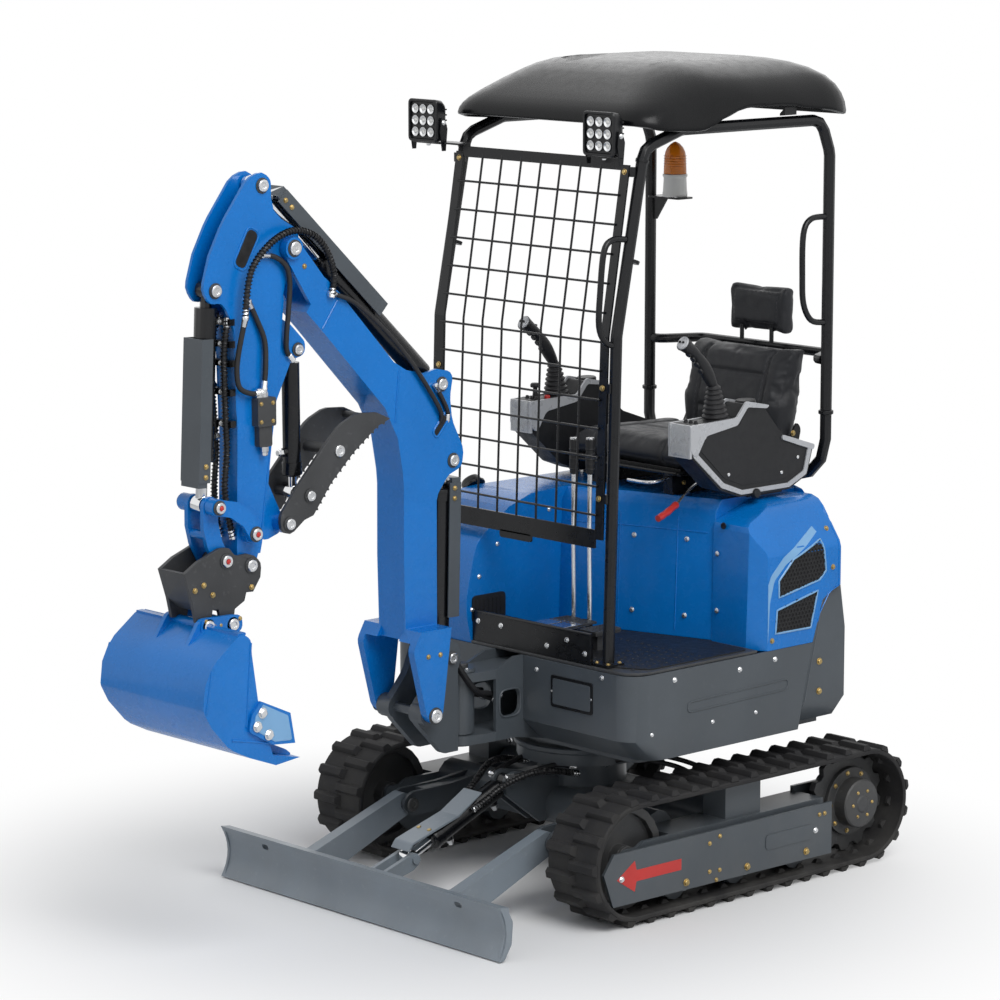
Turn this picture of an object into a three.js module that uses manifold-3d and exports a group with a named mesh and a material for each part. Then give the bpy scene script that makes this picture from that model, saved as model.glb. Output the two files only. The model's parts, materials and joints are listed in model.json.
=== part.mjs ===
// Mini excavator with rubber tracks, dozer blade, swing boom, thumb and four-post canopy.
// Millimetres, +Z up. The machine faces -Y, and the operator's left is +X. Everything is laid
// out about the slew axis, and the whole group is then moved so that its origin is the centre
// of the bottom of its bounding box.
import * as THREE from "three";
import { mergeVertices } from "three/addons/utils/BufferGeometryUtils.js";
import Module from "manifold-3d";

const wasm = await Module();
wasm.setup();

// ---------- driving dimensions ----------
const SEAT_GAP = 0.3; // between fixed pieces that touch
const RUN_GAP = 0.5; // round a rod or a bearing
const PIN_GAP = 0.2; // round a pin, between its corners and the flats of its bore
const PLATE = 12; // plate of lugs and brackets
const WALL = 6; // sheet steel of the body panels

// Undercarriage
const TRACK_WIDTH = 178;
const TRACK_CENTRE_X = 449; // middle of each belt
const TRACK_PITCH = 72;
const TRACK_LINKS = 37;
const TRACK_END_RADIUS = 164.5; // to the tips of the lugs
const LUG_HEIGHT = 12.7;
const LUG_LENGTH = 26;
const BELT_THICKNESS = 14;
const WHEEL_SPAN = 855; // idler centre to sprocket centre
const IDLER_Y = -316.5;
const IDLER_WIDTH = 50;
const SPROCKET_WIDTH = 18;
const SPROCKET_TEETH = 13;
const HUB_RADIUS = 78;
const ROLLER_RADIUS = 42;
const ROLLER_SPACING = 223.5;
const FIRST_ROLLER_Y = -142;
const FRAME_FRONT_Y = -170; // of a track frame's closed deck
const FRAME_HALF_WIDTH = 54; // of a track frame, to the outside of its side plates
const COVER_X = 528; // outer face of a track frame's cover plate
const COVER_BOTTOM = 58;
const COVER_TOP = 197;
const PEDESTAL_RADIUS = 118;
const PEDESTAL_TOP = 305;
const SLEW_RING_RADIUS = 174;
const SLEW_RING_TOP = 335;
const CROSS_TUBE_RADIUS = 52;
const CROSS_TUBE_Y = 110;
const CROSS_TUBE_Z = 185;

// Blade
const BLADE_HALF_WIDTH = 539;
const BLADE_BOTTOM = 4;
const BLADE_TOP = 139;
const BLADE_Y = -795; // front edges of the blade
const BLADE_DISH = 22; // depth of its curve
const BLADE_PLATE = 9;
const BLADE_LIP = 30;
const BLADE_PIVOT = [-391, 183];
const BLADE_SLOT_X = 372;
const BLADE_ARM_X = 275;
const BLADE_ARM_WIDTH = 36;
const BLADE_CYL_BASE = [-277, 270];
const BLADE_CYL_EYE = [-616, 128];

// House
const HOUSE_SIDE = 460;
const HOUSE_FRONT = -270;
const HOUSE_CORNER = 62;
const HOUSE_TAIL = 693; // tail radius from the slew axis
const SKIRT_BOTTOM = 389;
const SKIRT_BEND = 445;
const SKIRT_TOP = 614;
const SKIRT_SET_BACK = 60; // of the front skirt's lower edge
const COUNTERWEIGHT_TOP = 765;
const COUNTERWEIGHT_DEPTH = 110;
const WEIGHT_SEAM = [[337, 369], [394, 614], [430, 722], [474, 750], [560, COUNTERWEIGHT_TOP]]; // [y, z]
const WEIGHT_BOTTOM = 401;
const WEIGHT_INNER_Y = HOUSE_TAIL - COUNTERWEIGHT_DEPTH;
const DECK_TOP = SKIRT_BOTTOM - SEAT_GAP;
const BONNET_SEAM_Y = 500; // where the hoods end and the rear bonnet begins
const SHOULDER_Z = 866; // where the hoods' sides begin to lean in
const FLOOR_TOP = 622;
const HOOD_TOP = 992;
const HOOD_INNER_X = -143; // inner wall of the right hood
const LEFT_HOOD_X = 290; // inner edge of the left hood
const LEFT_HOOD_Y = 188; // its front face
const NOSE_HALF = 60;

// Swing post, boom, arm and bucket: pins as [y, z]
const SWING_Y = -440;
const SWING_PIN_RADIUS = 20;
const SWING_PIN_SIDES = 14;
const SWING_HUB_RADIUS = 40;
const LUG_LOWER = [402, 426];
const LUG_UPPER = [565, 589];
const FOOT = [-617, 515];
const BOOM_CYL_BASE = [-517, 642];
const BOOM_CYL_EYE = [-504.5, 1147];
const BOOM_TIP = [-1024, 1719];
const BOOM_HALF = 51;
const BOOM_PLATE = 9;
const FOOT_LEG_X = [86, 108];
const POST_PLATE_X = [38, 60];
const ARM_CYL_BASE = [-542.5, 1344];
const ARM_CYL_EYE = [-1101, 1872];
const ARM_HALF = 35;
const ARM_PLATE = 9;
const BUCKET_CYL_BASE = [-1247, 1631];
const LINK_PIN = [-1270, 1117];
const ROCKER_PIN = [-1157, 1040];
const HITCH_LINK_PIN = [-1237, 982];
const ARM_END = [-1161, 962];
const BUCKET_PIN_REAR = [-1307, 835];
const BUCKET_PIN_FRONT = [-1233, 830];
const HITCH_X = [41, 52];
const ROCKER_X = [56, 68];
const LINK_X = [24, 37];
const BUCKET_HALF = 200;
const BUCKET_EAR_X = [56, 68];
const THUMB_PIVOT = [-1052, 1052];
const THUMB_CYL_BASE = [-990, 1469];
const THUMB_CYL_EYE = [-987, 1114];
const THUMB_TUBE = [-892, 1214];
const THUMB_X = [56.5, 66.5];
const THUMB_BRACKET_X = 19; // inner face of the plates that hold the thumb's cylinder
const LINK_BRIDGE = [-1277, 1046];
const BUCKET_PLATE = 10;
const BUCKET_PIN_RADIUS = 13.5;
const PIN_RADIUS = 12.5;

// Cylinders: barrel and rod radius, radius and half width of the eyes, where the barrel starts, and
// how far the rod can still go in
const BOOM_CYL = { barrel: 31, rod: 15, eye: 24, eyeHalf: 20, neck: 36, stroke: 12 };
const ARM_CYL = { barrel: 29, rod: 15, eye: 22, eyeHalf: 19, neck: 36, stroke: 216 };
const BUCKET_CYL = { barrel: 27, rod: 14, eye: 21, eyeHalf: 17, neck: 42, stroke: 48 };
const THUMB_CYL = { barrel: 22, rod: 11, eye: 18, eyeHalf: 14, neck: 34, stroke: 4 };
const BLADE_CYL = { barrel: 27, rod: 14, eye: 21, eyeHalf: 15, neck: 36, stroke: 20 };
const GLAND_LENGTH = 26;
const GLAND_RIM = 3; // of the gland beyond the barrel
const GUARD_SHEET = 4;
const BOOM_GUARD = { near: 60, far: 405, side: 2 };
const ARM_GUARD = { near: 62, far: 500, side: 5 };
const BUCKET_GUARD = { near: 56, far: 400, side: 2 };

// Canopy and operator's station
const CANOPY_HALF = 330;
const CANOPY_FRONT_Y = -228; // of the front posts' feet
const FRONT_BEND = [-205, 1460];
const CANOPY_REAR_Y = 575;
const RIGHT_POST_Z = 915; // top of the pad on the hood that carries the right front post
const POST_FOOT_HALF = 29;
const POST_FOOT_PLATE = 8;
const TUBE_RADIUS = 15.5;
const TUBE_SIDES = 10;
const TUBE_FLAT = TUBE_RADIUS * Math.cos(Math.PI / TUBE_SIDES);
const ROOF_RAIL_Z = 1966;
const REAR_LOOP_TOP = 1190;
const REAR_LOOP_Z = 1010;
const REAR_BAR_BOW = 112; // the bar passes behind the seat
const ROOF_RIM = ROOF_RAIL_Z + TUBE_FLAT + SEAT_GAP;
const ROOF_TOP = 2130;
const ROOF_HALF = 372;
const ROOF_FRONT = -150;
const ROOF_REAR = 640;
const GUARD_HALF = 321;
const GUARD_BAR = 28;
const GUARD_POST_Y = -123.73; // middle of the front posts at the height of the guard's tabs
const GUARD_BOTTOM = [-240, 945];
const GUARD_KNEE = [FRONT_BEND[0] - TUBE_RADIUS - 1.5, FRONT_BEND[1]];
const GUARD_TOP = [-152, 1885];
const GUARD_WIRES = 8;
const LAMP_HALF = 56;
const LAMP_Z = 1963;
const CONSOLE_X = [262, 334];
const JOYSTICK_Z = 1205; // flat of the consoles under the joysticks
const SEAT_BACK_TOP = 1352;
const TRAVEL_LEVER_Y = -50;
const WIDE = 2000; // beyond everything, for cuts that go right through
const ARC_STEP = 0.5; // largest turn between two points of a fillet or a bend, in radians

// ---------- materials ----------
const paint = (color, roughness, metalness) =>
  new THREE.MeshStandardMaterial({ color, roughness, metalness });
const BLUE = paint(0x1c6fc4, 0.35, 0.1);
const GREY = paint(0x3d444b, 0.5, 0.2);
const DARK = paint(0x2b2d2f, 0.55, 0.2);
const BLACK = paint(0x17181a, 0.45, 0.1);
const RUBBER = paint(0x232425, 0.9, 0);
const CHROME = paint(0xd5d7d9, 0.15, 0.9);
const SOFT = paint(0x1d1e20, 0.7, 0);
const SILVER = paint(0xb9bcbf, 0.4, 0.3);
const AMBER = paint(0xb5651d, 0.3, 0);

// ---------- solids ----------
function toSolid(geometry) {
  const source = geometry.index ? geometry.toNonIndexed() : geometry;
  const bare = new THREE.BufferGeometry();
  bare.setAttribute("position", source.getAttribute("position"));
  const merged = mergeVertices(bare, 1e-3);
  return new wasm.Manifold(
    new wasm.Mesh({
      numProp: 3,
      vertProperties: merged.attributes.position.array,
      triVerts: new Uint32Array(merged.index.array),
    }),
  );
}

function toGeometry(solid) {
  const mesh = solid.getMesh();
  const geometry = new THREE.BufferGeometry();
  geometry.setAttribute("position", new THREE.BufferAttribute(mesh.vertProperties, 3));
  geometry.setIndex(new THREE.BufferAttribute(mesh.triVerts, 1));
  geometry.computeVertexNormals();
  return geometry;
}

const join = (...solids) => solids.flat().reduce((a, b) => a.add(b));
const cut = (solid, ...tools) => tools.flat().reduce((a, b) => a.subtract(b), solid);

const machine = new THREE.Group();
const layout = new THREE.Group(); // everything about the slew axis
machine.add(layout);

function piece(name, solid, material) {
  const mesh = new THREE.Mesh(toGeometry(solid), material);
  mesh.name = name;
  layout.add(mesh);
}

// A closed outline from corners [a, b, radius], each rounded by its radius as far as its edges allow.
function outline(corners) {
  const at = (i) => new THREE.Vector2(...corners[(i + corners.length) % corners.length]);
  return new THREE.Shape(corners.flatMap(([, , radius = 0], i) => {
    const here = at(i);
    if (!radius) return [here];
    const before = at(i - 1).sub(here);
    const after = at(i + 1).sub(here);
    const room = 0.48 * Math.min(before.length(), after.length());
    const turn = before.cross(after) > 0 ? -1 : 1;
    const half = before.normalize().angleTo(after.normalize()) / 2;
    const reach = Math.min(radius / Math.tan(half), room);
    const bend = reach * Math.tan(half);
    const centre = before.clone().add(after).setLength(bend / Math.sin(half)).add(here);
    const start = before.clone().multiplyScalar(reach).add(here);
    const sweep = Math.PI - 2 * half;
    const steps = Math.max(1, Math.round(sweep / ARC_STEP));
    return Array.from({ length: steps + 1 }, (_, k) =>
      start.clone().rotateAround(centre, (turn * sweep * k) / steps));
  }));
}

// A plate round two pins, with tangent sides.
function strapOutline(p, radiusP, q, radiusQ) {
  const [dx, dy] = [q[0] - p[0], q[1] - p[1]];
  const heading = Math.atan2(dy, dx);
  const lean = Math.acos((radiusP - radiusQ) / Math.hypot(dx, dy));
  const shape = new THREE.Shape();
  shape.absarc(p[0], p[1], radiusP, heading + lean, heading - lean + 2 * Math.PI, false);
  shape.absarc(q[0], q[1], radiusQ, heading - lean, heading + lean, false);
  shape.closePath();
  return shape;
}

const AXES = {
  x: [new THREE.Vector3(0, 1, 0), new THREE.Vector3(0, 0, 1), new THREE.Vector3(1, 0, 0)],
  y: [new THREE.Vector3(-1, 0, 0), new THREE.Vector3(0, 0, 1), new THREE.Vector3(0, 1, 0)],
  z: [new THREE.Vector3(1, 0, 0), new THREE.Vector3(0, 1, 0), new THREE.Vector3(0, 0, 1)],
};

// A slab of an outline across one axis: outlines are [y, z] along x, [-x, z] along y, [x, y] along z.
function slab(axis, shape, from, to, curveSegments = 2) {
  const geometry = new THREE.ExtrudeGeometry(shape, {
    depth: to - from,
    bevelEnabled: false,
    curveSegments,
  });
  const frame = new THREE.Matrix4().makeBasis(...AXES[axis]);
  const shift = AXES[axis][2].clone().multiplyScalar(from);
  return toSolid(geometry.applyMatrix4(frame.setPosition(shift)));
}

const plateX = (shape, x0, x1, segments) => slab("x", shape, x0, x1, segments);
const bothSides = (shape, [inner, outer], segments) => [
  plateX(shape, inner, outer, segments),
  plateX(shape, -outer, -inner, segments),
];

function box(x0, x1, y0, y1, z0, z1) {
  const geometry = new THREE.BoxGeometry(x1 - x0, y1 - y0, z1 - z0);
  return toSolid(geometry.translate((x0 + x1) / 2, (y0 + y1) / 2, (z0 + z1) / 2));
}

function rod(from, to, radius, sides = 14, endRadius = radius) {
  const [a, b] = [new THREE.Vector3(...from), new THREE.Vector3(...to)];
  const geometry = new THREE.CylinderGeometry(endRadius, radius, a.distanceTo(b), sides);
  const turn = new THREE.Quaternion();
  turn.setFromUnitVectors(new THREE.Vector3(0, 1, 0), b.clone().sub(a).normalize());
  geometry.applyQuaternion(turn).translate(...a.add(b).multiplyScalar(0.5).toArray());
  return toSolid(geometry);
}

const pinX = ([y, z], radius, x0, x1, sides = 10) => rod([x0, y, z], [x1, y, z], radius, sides);
const bothPins = (at, radius, [inner, outer], sides) => [
  pinX(at, radius, inner, outer, sides),
  pinX(at, radius, -outer, -inner, sides),
];

// A bore along x that a pin of the same number of sides turns in.
const boreX = (at, radius, sides = 10) =>
  pinX(at, (radius + PIN_GAP) / Math.cos(Math.PI / sides), -WIDE, WIDE, sides);

function sphere(centre, radius, sides = 12) {
  const geometry = new THREE.SphereGeometry(radius, sides, sides / 2);
  return toSolid(geometry.translate(...centre));
}

// A route that stands exactly on its stops, however far apart they are.
class Route extends THREE.Curve {
  constructor(stops) {
    super();
    this.stops = stops;
  }

  getPoint(t, target = new THREE.Vector3()) {
    const place = t * (this.stops.length - 1);
    const i = Math.min(Math.floor(place), this.stops.length - 2);
    return target.lerpVectors(this.stops[i], this.stops[i + 1], place - i);
  }

  getUtoTmapping(u) {
    return u;
  }
}

// The stops of a line through corners, each rounded by a bend of one radius.
function roundedStops(corners, bend) {
  const points = corners.map((p) => new THREE.Vector3(...p));
  return points.flatMap((corner, i) => {
    if (i === 0 || i === points.length - 1) return [corner];
    const back = points[i - 1].clone().sub(corner).normalize();
    const on = points[i + 1].clone().sub(corner).normalize();
    const half = back.angleTo(on) / 2;
    const start = corner.clone().addScaledVector(back, bend / Math.tan(half));
    const end = corner.clone().addScaledVector(on, bend / Math.tan(half));
    const centre = back.clone().add(on).setLength(bend / Math.sin(half)).add(corner);
    const spoke = start.clone().sub(centre);
    const axis = spoke.clone().cross(end.clone().sub(centre)).normalize();
    const sweep = Math.PI - 2 * half;
    const steps = Math.max(1, Math.round(sweep / ARC_STEP));
    return Array.from({ length: steps + 1 }, (_, k) =>
      spoke.clone().applyAxisAngle(axis, (sweep * k) / steps).add(centre),
    );
  });
}

// A round tube through corners, with bends of one radius.
function pipe(corners, radius, bend, sides = TUBE_SIDES) {
  const stops = roundedStops(corners, bend);
  const section = new THREE.Shape(
    Array.from({ length: sides }, (_, i) => {
      const angle = (2 * Math.PI * i) / sides;
      return new THREE.Vector2(Math.cos(angle) * radius, Math.sin(angle) * radius);
    }),
  );
  return toSolid(new THREE.ExtrudeGeometry(section, {
    steps: stops.length - 1,
    extrudePath: new Route(stops),
  }));
}

// A closed wall between level outlines that have the same number of points.
function loft(levels) {
  const count = levels[0].points.length;
  const positions = levels.flatMap(({ z, points }) => points.flatMap((p) => [p.x, p.y, z]));
  const index = [];
  for (let level = 0; level < levels.length - 1; level += 1) {
    for (let i = 0; i < count; i += 1) {
      const [a, b] = [level * count + i, level * count + ((i + 1) % count)];
      index.push(a, b, b + count, a, b + count, a + count);
    }
  }
  const cap = (level, up) =>
    THREE.ShapeUtils.triangulateShape(levels[level].points, []).forEach((face) => {
      const [i, j, k] = face.map((v) => v + level * count);
      index.push(...(up ? [i, j, k] : [i, k, j]));
    });
  cap(0, false);
  cap(levels.length - 1, true);
  const geometry = new THREE.BufferGeometry();
  geometry.setAttribute("position", new THREE.Float32BufferAttribute(positions, 3));
  geometry.setIndex(index);
  return toSolid(geometry);
}

const mirrorX = (solid) => {
  const mesh = solid.getMesh();
  const positions = mesh.vertProperties.slice();
  for (let i = 0; i < positions.length; i += 3) positions[i] = -positions[i];
  const faces = mesh.triVerts.slice();
  for (let i = 0; i < faces.length; i += 3) [faces[i], faces[i + 1]] = [faces[i + 1], faces[i]];
  return new wasm.Manifold(new wasm.Mesh({ numProp: 3, vertProperties: positions, triVerts: faces }));
};

// ---------- undercarriage ----------
const WHEEL_Z = TRACK_END_RADIUS;
const SPROCKET_Y = IDLER_Y + WHEEL_SPAN;
const BELT_OUTER = TRACK_END_RADIUS - LUG_HEIGHT;
const BELT_INNER = BELT_OUTER - BELT_THICKNESS;
const WHEEL_RADIUS = BELT_INNER - SEAT_GAP;
const SPROCKET_X = [TRACK_CENTRE_X - SPROCKET_WIDTH / 2, TRACK_CENTRE_X + SPROCKET_WIDTH / 2];

// A point of the track loop at a share of one turn, and at a radius from the wheels' centres.
function loopPoint(share, radius) {
  const arc = Math.PI * BELT_OUTER;
  let s = (((share % 1) + 1) % 1) * 2 * (WHEEL_SPAN + arc);
  const around = (centre, angle) =>
    new THREE.Vector2(centre + Math.cos(angle) * radius, WHEEL_Z + Math.sin(angle) * radius);
  if (s < WHEEL_SPAN) return new THREE.Vector2(IDLER_Y + s, WHEEL_Z + radius);
  s -= WHEEL_SPAN;
  if (s < arc) return around(SPROCKET_Y, Math.PI / 2 - s / BELT_OUTER);
  s -= arc;
  if (s < WHEEL_SPAN) return new THREE.Vector2(SPROCKET_Y - s, WHEEL_Z - radius);
  s -= WHEEL_SPAN;
  return around(IDLER_Y, -Math.PI / 2 - s / BELT_OUTER);
}

function trackBelt() {
  const half = LUG_LENGTH / 4 / (WHEEL_SPAN + Math.PI * BELT_OUTER);
  const points = [];
  for (let link = 0; link < TRACK_LINKS; link += 1) {
    const middle = (link + 0.5) / TRACK_LINKS;
    points.push(loopPoint(middle - half, BELT_OUTER), loopPoint(middle - half, TRACK_END_RADIUS));
    points.push(loopPoint(middle + half, TRACK_END_RADIUS), loopPoint(middle + half, BELT_OUTER));
  }
  const shape = new THREE.Shape(points);
  const hole = strapOutline([IDLER_Y, WHEEL_Z], BELT_INNER, [SPROCKET_Y, WHEEL_Z], BELT_INNER);
  shape.holes.push(new THREE.Path(hole.getPoints(12)));
  return plateX(shape, TRACK_CENTRE_X - TRACK_WIDTH / 2, TRACK_CENTRE_X + TRACK_WIDTH / 2);
}

const ROLLER_Z = WHEEL_Z - BELT_INNER + SEAT_GAP + ROLLER_RADIUS;
const FRAME_X = [TRACK_CENTRE_X - FRAME_HALF_WIDTH, TRACK_CENTRE_X + FRAME_HALF_WIDTH];
const FRAME_PLATE = 10;
const FRAME_REAR = SPROCKET_Y - WHEEL_RADIUS - 6;
const AXLE_RADIUS = 16;

// Side plates, closed deck, three rollers, the idler's axle, the cover plate and the drive housing.
function trackFrame() {
  const front = IDLER_Y - 14;
  const sidePlates = (shape) => [
    plateX(shape, FRAME_X[0], FRAME_X[0] + FRAME_PLATE),
    plateX(shape, FRAME_X[1] - FRAME_PLATE, FRAME_X[1]),
  ];
  const sides = sidePlates(outline([
    [front, 118, 20], [front + 60, 64, 10], [FRAME_REAR, 64], [FRAME_REAR, 205],
    [front + 60, 205, 10], [front, 175, 20],
  ]));
  const deck = box(FRAME_X[0], FRAME_X[1], FRAME_FRONT_Y, FRAME_REAR, 128, 205);
  const rollers = [0, 1, 2].flatMap((i) => {
    const at = [FIRST_ROLLER_Y + i * ROLLER_SPACING, ROLLER_Z];
    return [
      pinX(at, ROLLER_RADIUS, FRAME_X[0] + 16, FRAME_X[1] - 16, 14),
      pinX(at, 13, FRAME_X[0] + 4, COVER_X - 4, 8),
    ];
  });
  const slide = box(TRACK_CENTRE_X - 40, TRACK_CENTRE_X + 40, 40, 170, 200,
    WHEEL_Z + BELT_INNER - SEAT_GAP);
  const axle = pinX([IDLER_Y, WHEEL_Z], AXLE_RADIUS, FRAME_X[0] + 4, FRAME_X[1] - 4, 12);
  const yoke = sidePlates(outline([
    [IDLER_Y - 28, WHEEL_Z - 28, 12], [front + 40, WHEEL_Z - 28], [front + 40, WHEEL_Z + 28],
    [IDLER_Y - 28, WHEEL_Z + 28, 12],
  ]));
  const cover = plateX(outline([
    [IDLER_Y - 117, 150], [IDLER_Y - 84, COVER_BOTTOM + 4], [FRAME_REAR + 8, COVER_BOTTOM],
    [FRAME_REAR + 8, COVER_TOP], [IDLER_Y - 82, COVER_TOP],
  ]), COVER_X - 8, COVER_X);
  const housing = [
    box(FRAME_X[0], FRAME_X[0] + FRAME_PLATE, FRAME_REAR - 10, SPROCKET_Y, 110, 219),
    pinX([SPROCKET_Y, WHEEL_Z], HUB_RADIUS, FRAME_X[0], SPROCKET_X[0] - RUN_GAP, 20),
  ];
  return join(...sides, deck, ...rollers, slide, axle, ...yoke, cover, ...housing);
}

function idlerWheel() {
  const at = [IDLER_Y, WHEEL_Z];
  const half = IDLER_WIDTH / 2;
  const rim = pinX(at, WHEEL_RADIUS, TRACK_CENTRE_X - half, TRACK_CENTRE_X + half, 26);
  const dish = [
    pinX(at, WHEEL_RADIUS - 22, TRACK_CENTRE_X + 8, TRACK_CENTRE_X + half + 1, 16),
    pinX(at, WHEEL_RADIUS - 22, TRACK_CENTRE_X - half - 1, TRACK_CENTRE_X - 8, 16),
  ];
  const hub = pinX(at, 34, FRAME_X[0] + FRAME_PLATE + 2, FRAME_X[1] - FRAME_PLATE - 2, 12);
  return cut(join(cut(rim, dish), hub), pinX(at, AXLE_RADIUS + RUN_GAP, ...FRAME_X, 12));
}

function sprocket() {
  const root = WHEEL_RADIUS - 16;
  const tip = WHEEL_RADIUS - 1;
  const profile = [[0, root], [0.25, root], [0.45, tip], [0.8, tip]];
  const points = Array.from({ length: SPROCKET_TEETH }).flatMap((_, tooth) =>
    profile.map(([turn, radius]) => {
      const angle = ((tooth + turn) / SPROCKET_TEETH) * 2 * Math.PI;
      const [dy, dz] = [Math.cos(angle) * radius, Math.sin(angle) * radius];
      return new THREE.Vector2(SPROCKET_Y + dy, WHEEL_Z + dz);
    }));
  const at = [SPROCKET_Y, WHEEL_Z];
  const disc = plateX(new THREE.Shape(points), ...SPROCKET_X);
  const flange = pinX(at, HUB_RADIUS + 14, SPROCKET_X[1] - 1, SPROCKET_X[1] + 14, 24);
  const cap = pinX(at, HUB_RADIUS - 12, SPROCKET_X[1], SPROCKET_X[1] + 52, 16);
  return join(disc, flange, cap);
}

// Two lugs of a pivot, one on each side of the piece between them.
const lugPair = (middle, halfGap) => [
  [middle + halfGap, middle + halfGap + PLATE],
  [middle - halfGap - PLATE, middle - halfGap],
];
const BLADE_LUG_GAP = BLADE_ARM_WIDTH / 2 + 1.5;
const BLADE_EAR_GAP = BLADE_CYL.eyeHalf + 2;

function chassisFrame() {
  const reach = FRAME_X[0] - SEAT_GAP;
  const [y, z] = [CROSS_TUBE_Y, CROSS_TUBE_Z];
  const tubes = [-y, y].map((at) => rod([-reach, at, z], [reach, at, z], CROSS_TUBE_RADIUS, 12));
  const hull = slab("z", outline([[-175, -y, 30], [175, -y, 30], [175, y, 30], [-175, y, 30]]), 138, 236);
  const pedestal = rod([0, 0, 200], [0, 0, PEDESTAL_TOP], PEDESTAL_RADIUS, 16);
  const ring = rod([0, 0, PEDESTAL_TOP], [0, 0, SLEW_RING_TOP], SLEW_RING_RADIUS, 24);
  const [pivotY, pivotZ] = BLADE_PIVOT;
  const lug = outline([
    [-y, 140], [-y, 228], [-250, 215], [pivotY, pivotZ + 31, 26], [pivotY - 34, pivotZ, 26],
    [pivotY, pivotZ - 31, 26], [-250, 150],
  ]);
  const legs = [-BLADE_ARM_X, BLADE_ARM_X].flatMap((middle) => {
    const far = BLADE_LUG_GAP + PLATE;
    return [
      ...lugPair(middle, BLADE_LUG_GAP).map((span) => plateX(lug, ...span)),
      box(middle - far, middle + far, -330, -y, 150, 212),
      pinX(BLADE_PIVOT, PIN_RADIUS, middle - far - 6, middle + far + 6),
    ];
  });
  const [baseY, baseZ] = BLADE_CYL_BASE;
  const ear = outline([
    [-y, 160], [-y, 260, 10], [baseY + 10, baseZ + 29, 20], [baseY - 29, baseZ + 20, 20],
    [baseY - 22, baseZ - 30, 18], [-180, 150],
  ]);
  const ears = bothSides(ear, [BLADE_EAR_GAP, BLADE_EAR_GAP + PLATE]);
  const pin = pinX(BLADE_CYL_BASE, PIN_RADIUS, -BLADE_EAR_GAP - PLATE - 5, BLADE_EAR_GAP + PLATE + 5);
  return join(...tubes, hull, pedestal, ring, ...legs, ...ears, pin);
}

piece("chassis_frame", chassisFrame(), GREY);
[["left", (s) => s], ["right", mirrorX]].forEach(([side, place]) => {
  piece(`track_frame_${side}`, place(trackFrame()), GREY);
  piece(`track_${side}`, place(trackBelt()), RUBBER);
  piece(`idler_${side}`, place(idlerWheel()), DARK);
  piece(`sprocket_${side}`, place(sprocket()), DARK);
});

// ---------- blade ----------
const BLADE_MIDDLE = (BLADE_TOP + BLADE_BOTTOM) / 2;
const BLADE_BACK = BLADE_Y + BLADE_DISH + BLADE_PLATE;

// The curved rear face of the blade, from its foot up to its lip, moved back by a clearance.
function bladeRear(shape, clearance) {
  shape.lineTo(BLADE_Y + BLADE_PLATE + 4 + clearance, BLADE_BOTTOM);
  shape.quadraticCurveTo(BLADE_Y + 2 * BLADE_DISH + BLADE_PLATE + clearance, BLADE_MIDDLE + 10,
    BLADE_Y + BLADE_LIP + clearance, BLADE_TOP - 16);
}

function bladePlate() {
  const face = new THREE.Shape();
  face.moveTo(BLADE_Y, BLADE_BOTTOM);
  bladeRear(face, 0);
  face.lineTo(BLADE_Y + BLADE_LIP, BLADE_TOP - 4);
  face.lineTo(BLADE_Y, BLADE_TOP);
  face.quadraticCurveTo(BLADE_Y + 2 * BLADE_DISH, BLADE_MIDDLE, BLADE_Y, BLADE_BOTTOM);
  const blade = plateX(face, -BLADE_HALF_WIDTH, BLADE_HALF_WIDTH, 8);
  const slots = [-BLADE_SLOT_X, BLADE_SLOT_X].map((x) => slab("y", outline([
    [x - 13, 104, 7], [x + 13, 104, 7], [x + 13, 119, 7], [x - 13, 119, 7],
  ]), BLADE_Y - 20, BLADE_Y + 60));
  return cut(blade, slots);
}

function bladeArms() {
  const [pivotY, pivotZ] = BLADE_PIVOT;
  const arm = outline([
    [pivotY + 30, pivotZ + 6, 22], [pivotY - 10, pivotZ + 33, 22], [BLADE_BACK + 60, 112],
    [BLADE_BACK - 20, 112], [BLADE_BACK - 20, 24], [BLADE_BACK + 80, 30], [pivotY + 4, pivotZ - 30, 22],
  ]);
  const arms = [-BLADE_ARM_X, BLADE_ARM_X].map((middle) =>
    plateX(arm, middle - BLADE_ARM_WIDTH / 2, middle + BLADE_ARM_WIDTH / 2));
  const beam = box(-BLADE_ARM_X, BLADE_ARM_X, BLADE_BACK - 20, BLADE_BACK + 40, 60, 104);
  const [eyeY, eyeZ] = BLADE_CYL_EYE;
  const ears = bothSides(outline([
    [eyeY + 22, eyeZ - 8, 18], [eyeY + 6, eyeZ + 20, 18], [BLADE_BACK + 30, 108],
    [BLADE_BACK - 20, 62], [eyeY - 6, eyeZ - 28, 14],
  ]), [BLADE_EAR_GAP, BLADE_EAR_GAP + PLATE]);
  const stubs = bothPins(BLADE_CYL_EYE, PIN_RADIUS, [BLADE_EAR_GAP + 1, BLADE_EAR_GAP + PLATE + 6]);
  const bore = boreX(BLADE_PIVOT, PIN_RADIUS);
  const clear = new THREE.Shape();
  clear.moveTo(BLADE_Y - 40, BLADE_BOTTOM - 40);
  clear.lineTo(BLADE_Y + BLADE_PLATE + 4 + SEAT_GAP, BLADE_BOTTOM - 40);
  bladeRear(clear, SEAT_GAP);
  clear.lineTo(BLADE_Y + BLADE_LIP + SEAT_GAP, BLADE_TOP + 40);
  clear.lineTo(BLADE_Y - 40, BLADE_TOP + 40);
  return cut(join(...arms, beam, ...ears, ...stubs), bore, plateX(clear, -WIDE, WIDE, 8));
}

piece("blade", bladePlate(), GREY);
piece("blade_arms", bladeArms(), GREY);

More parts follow.
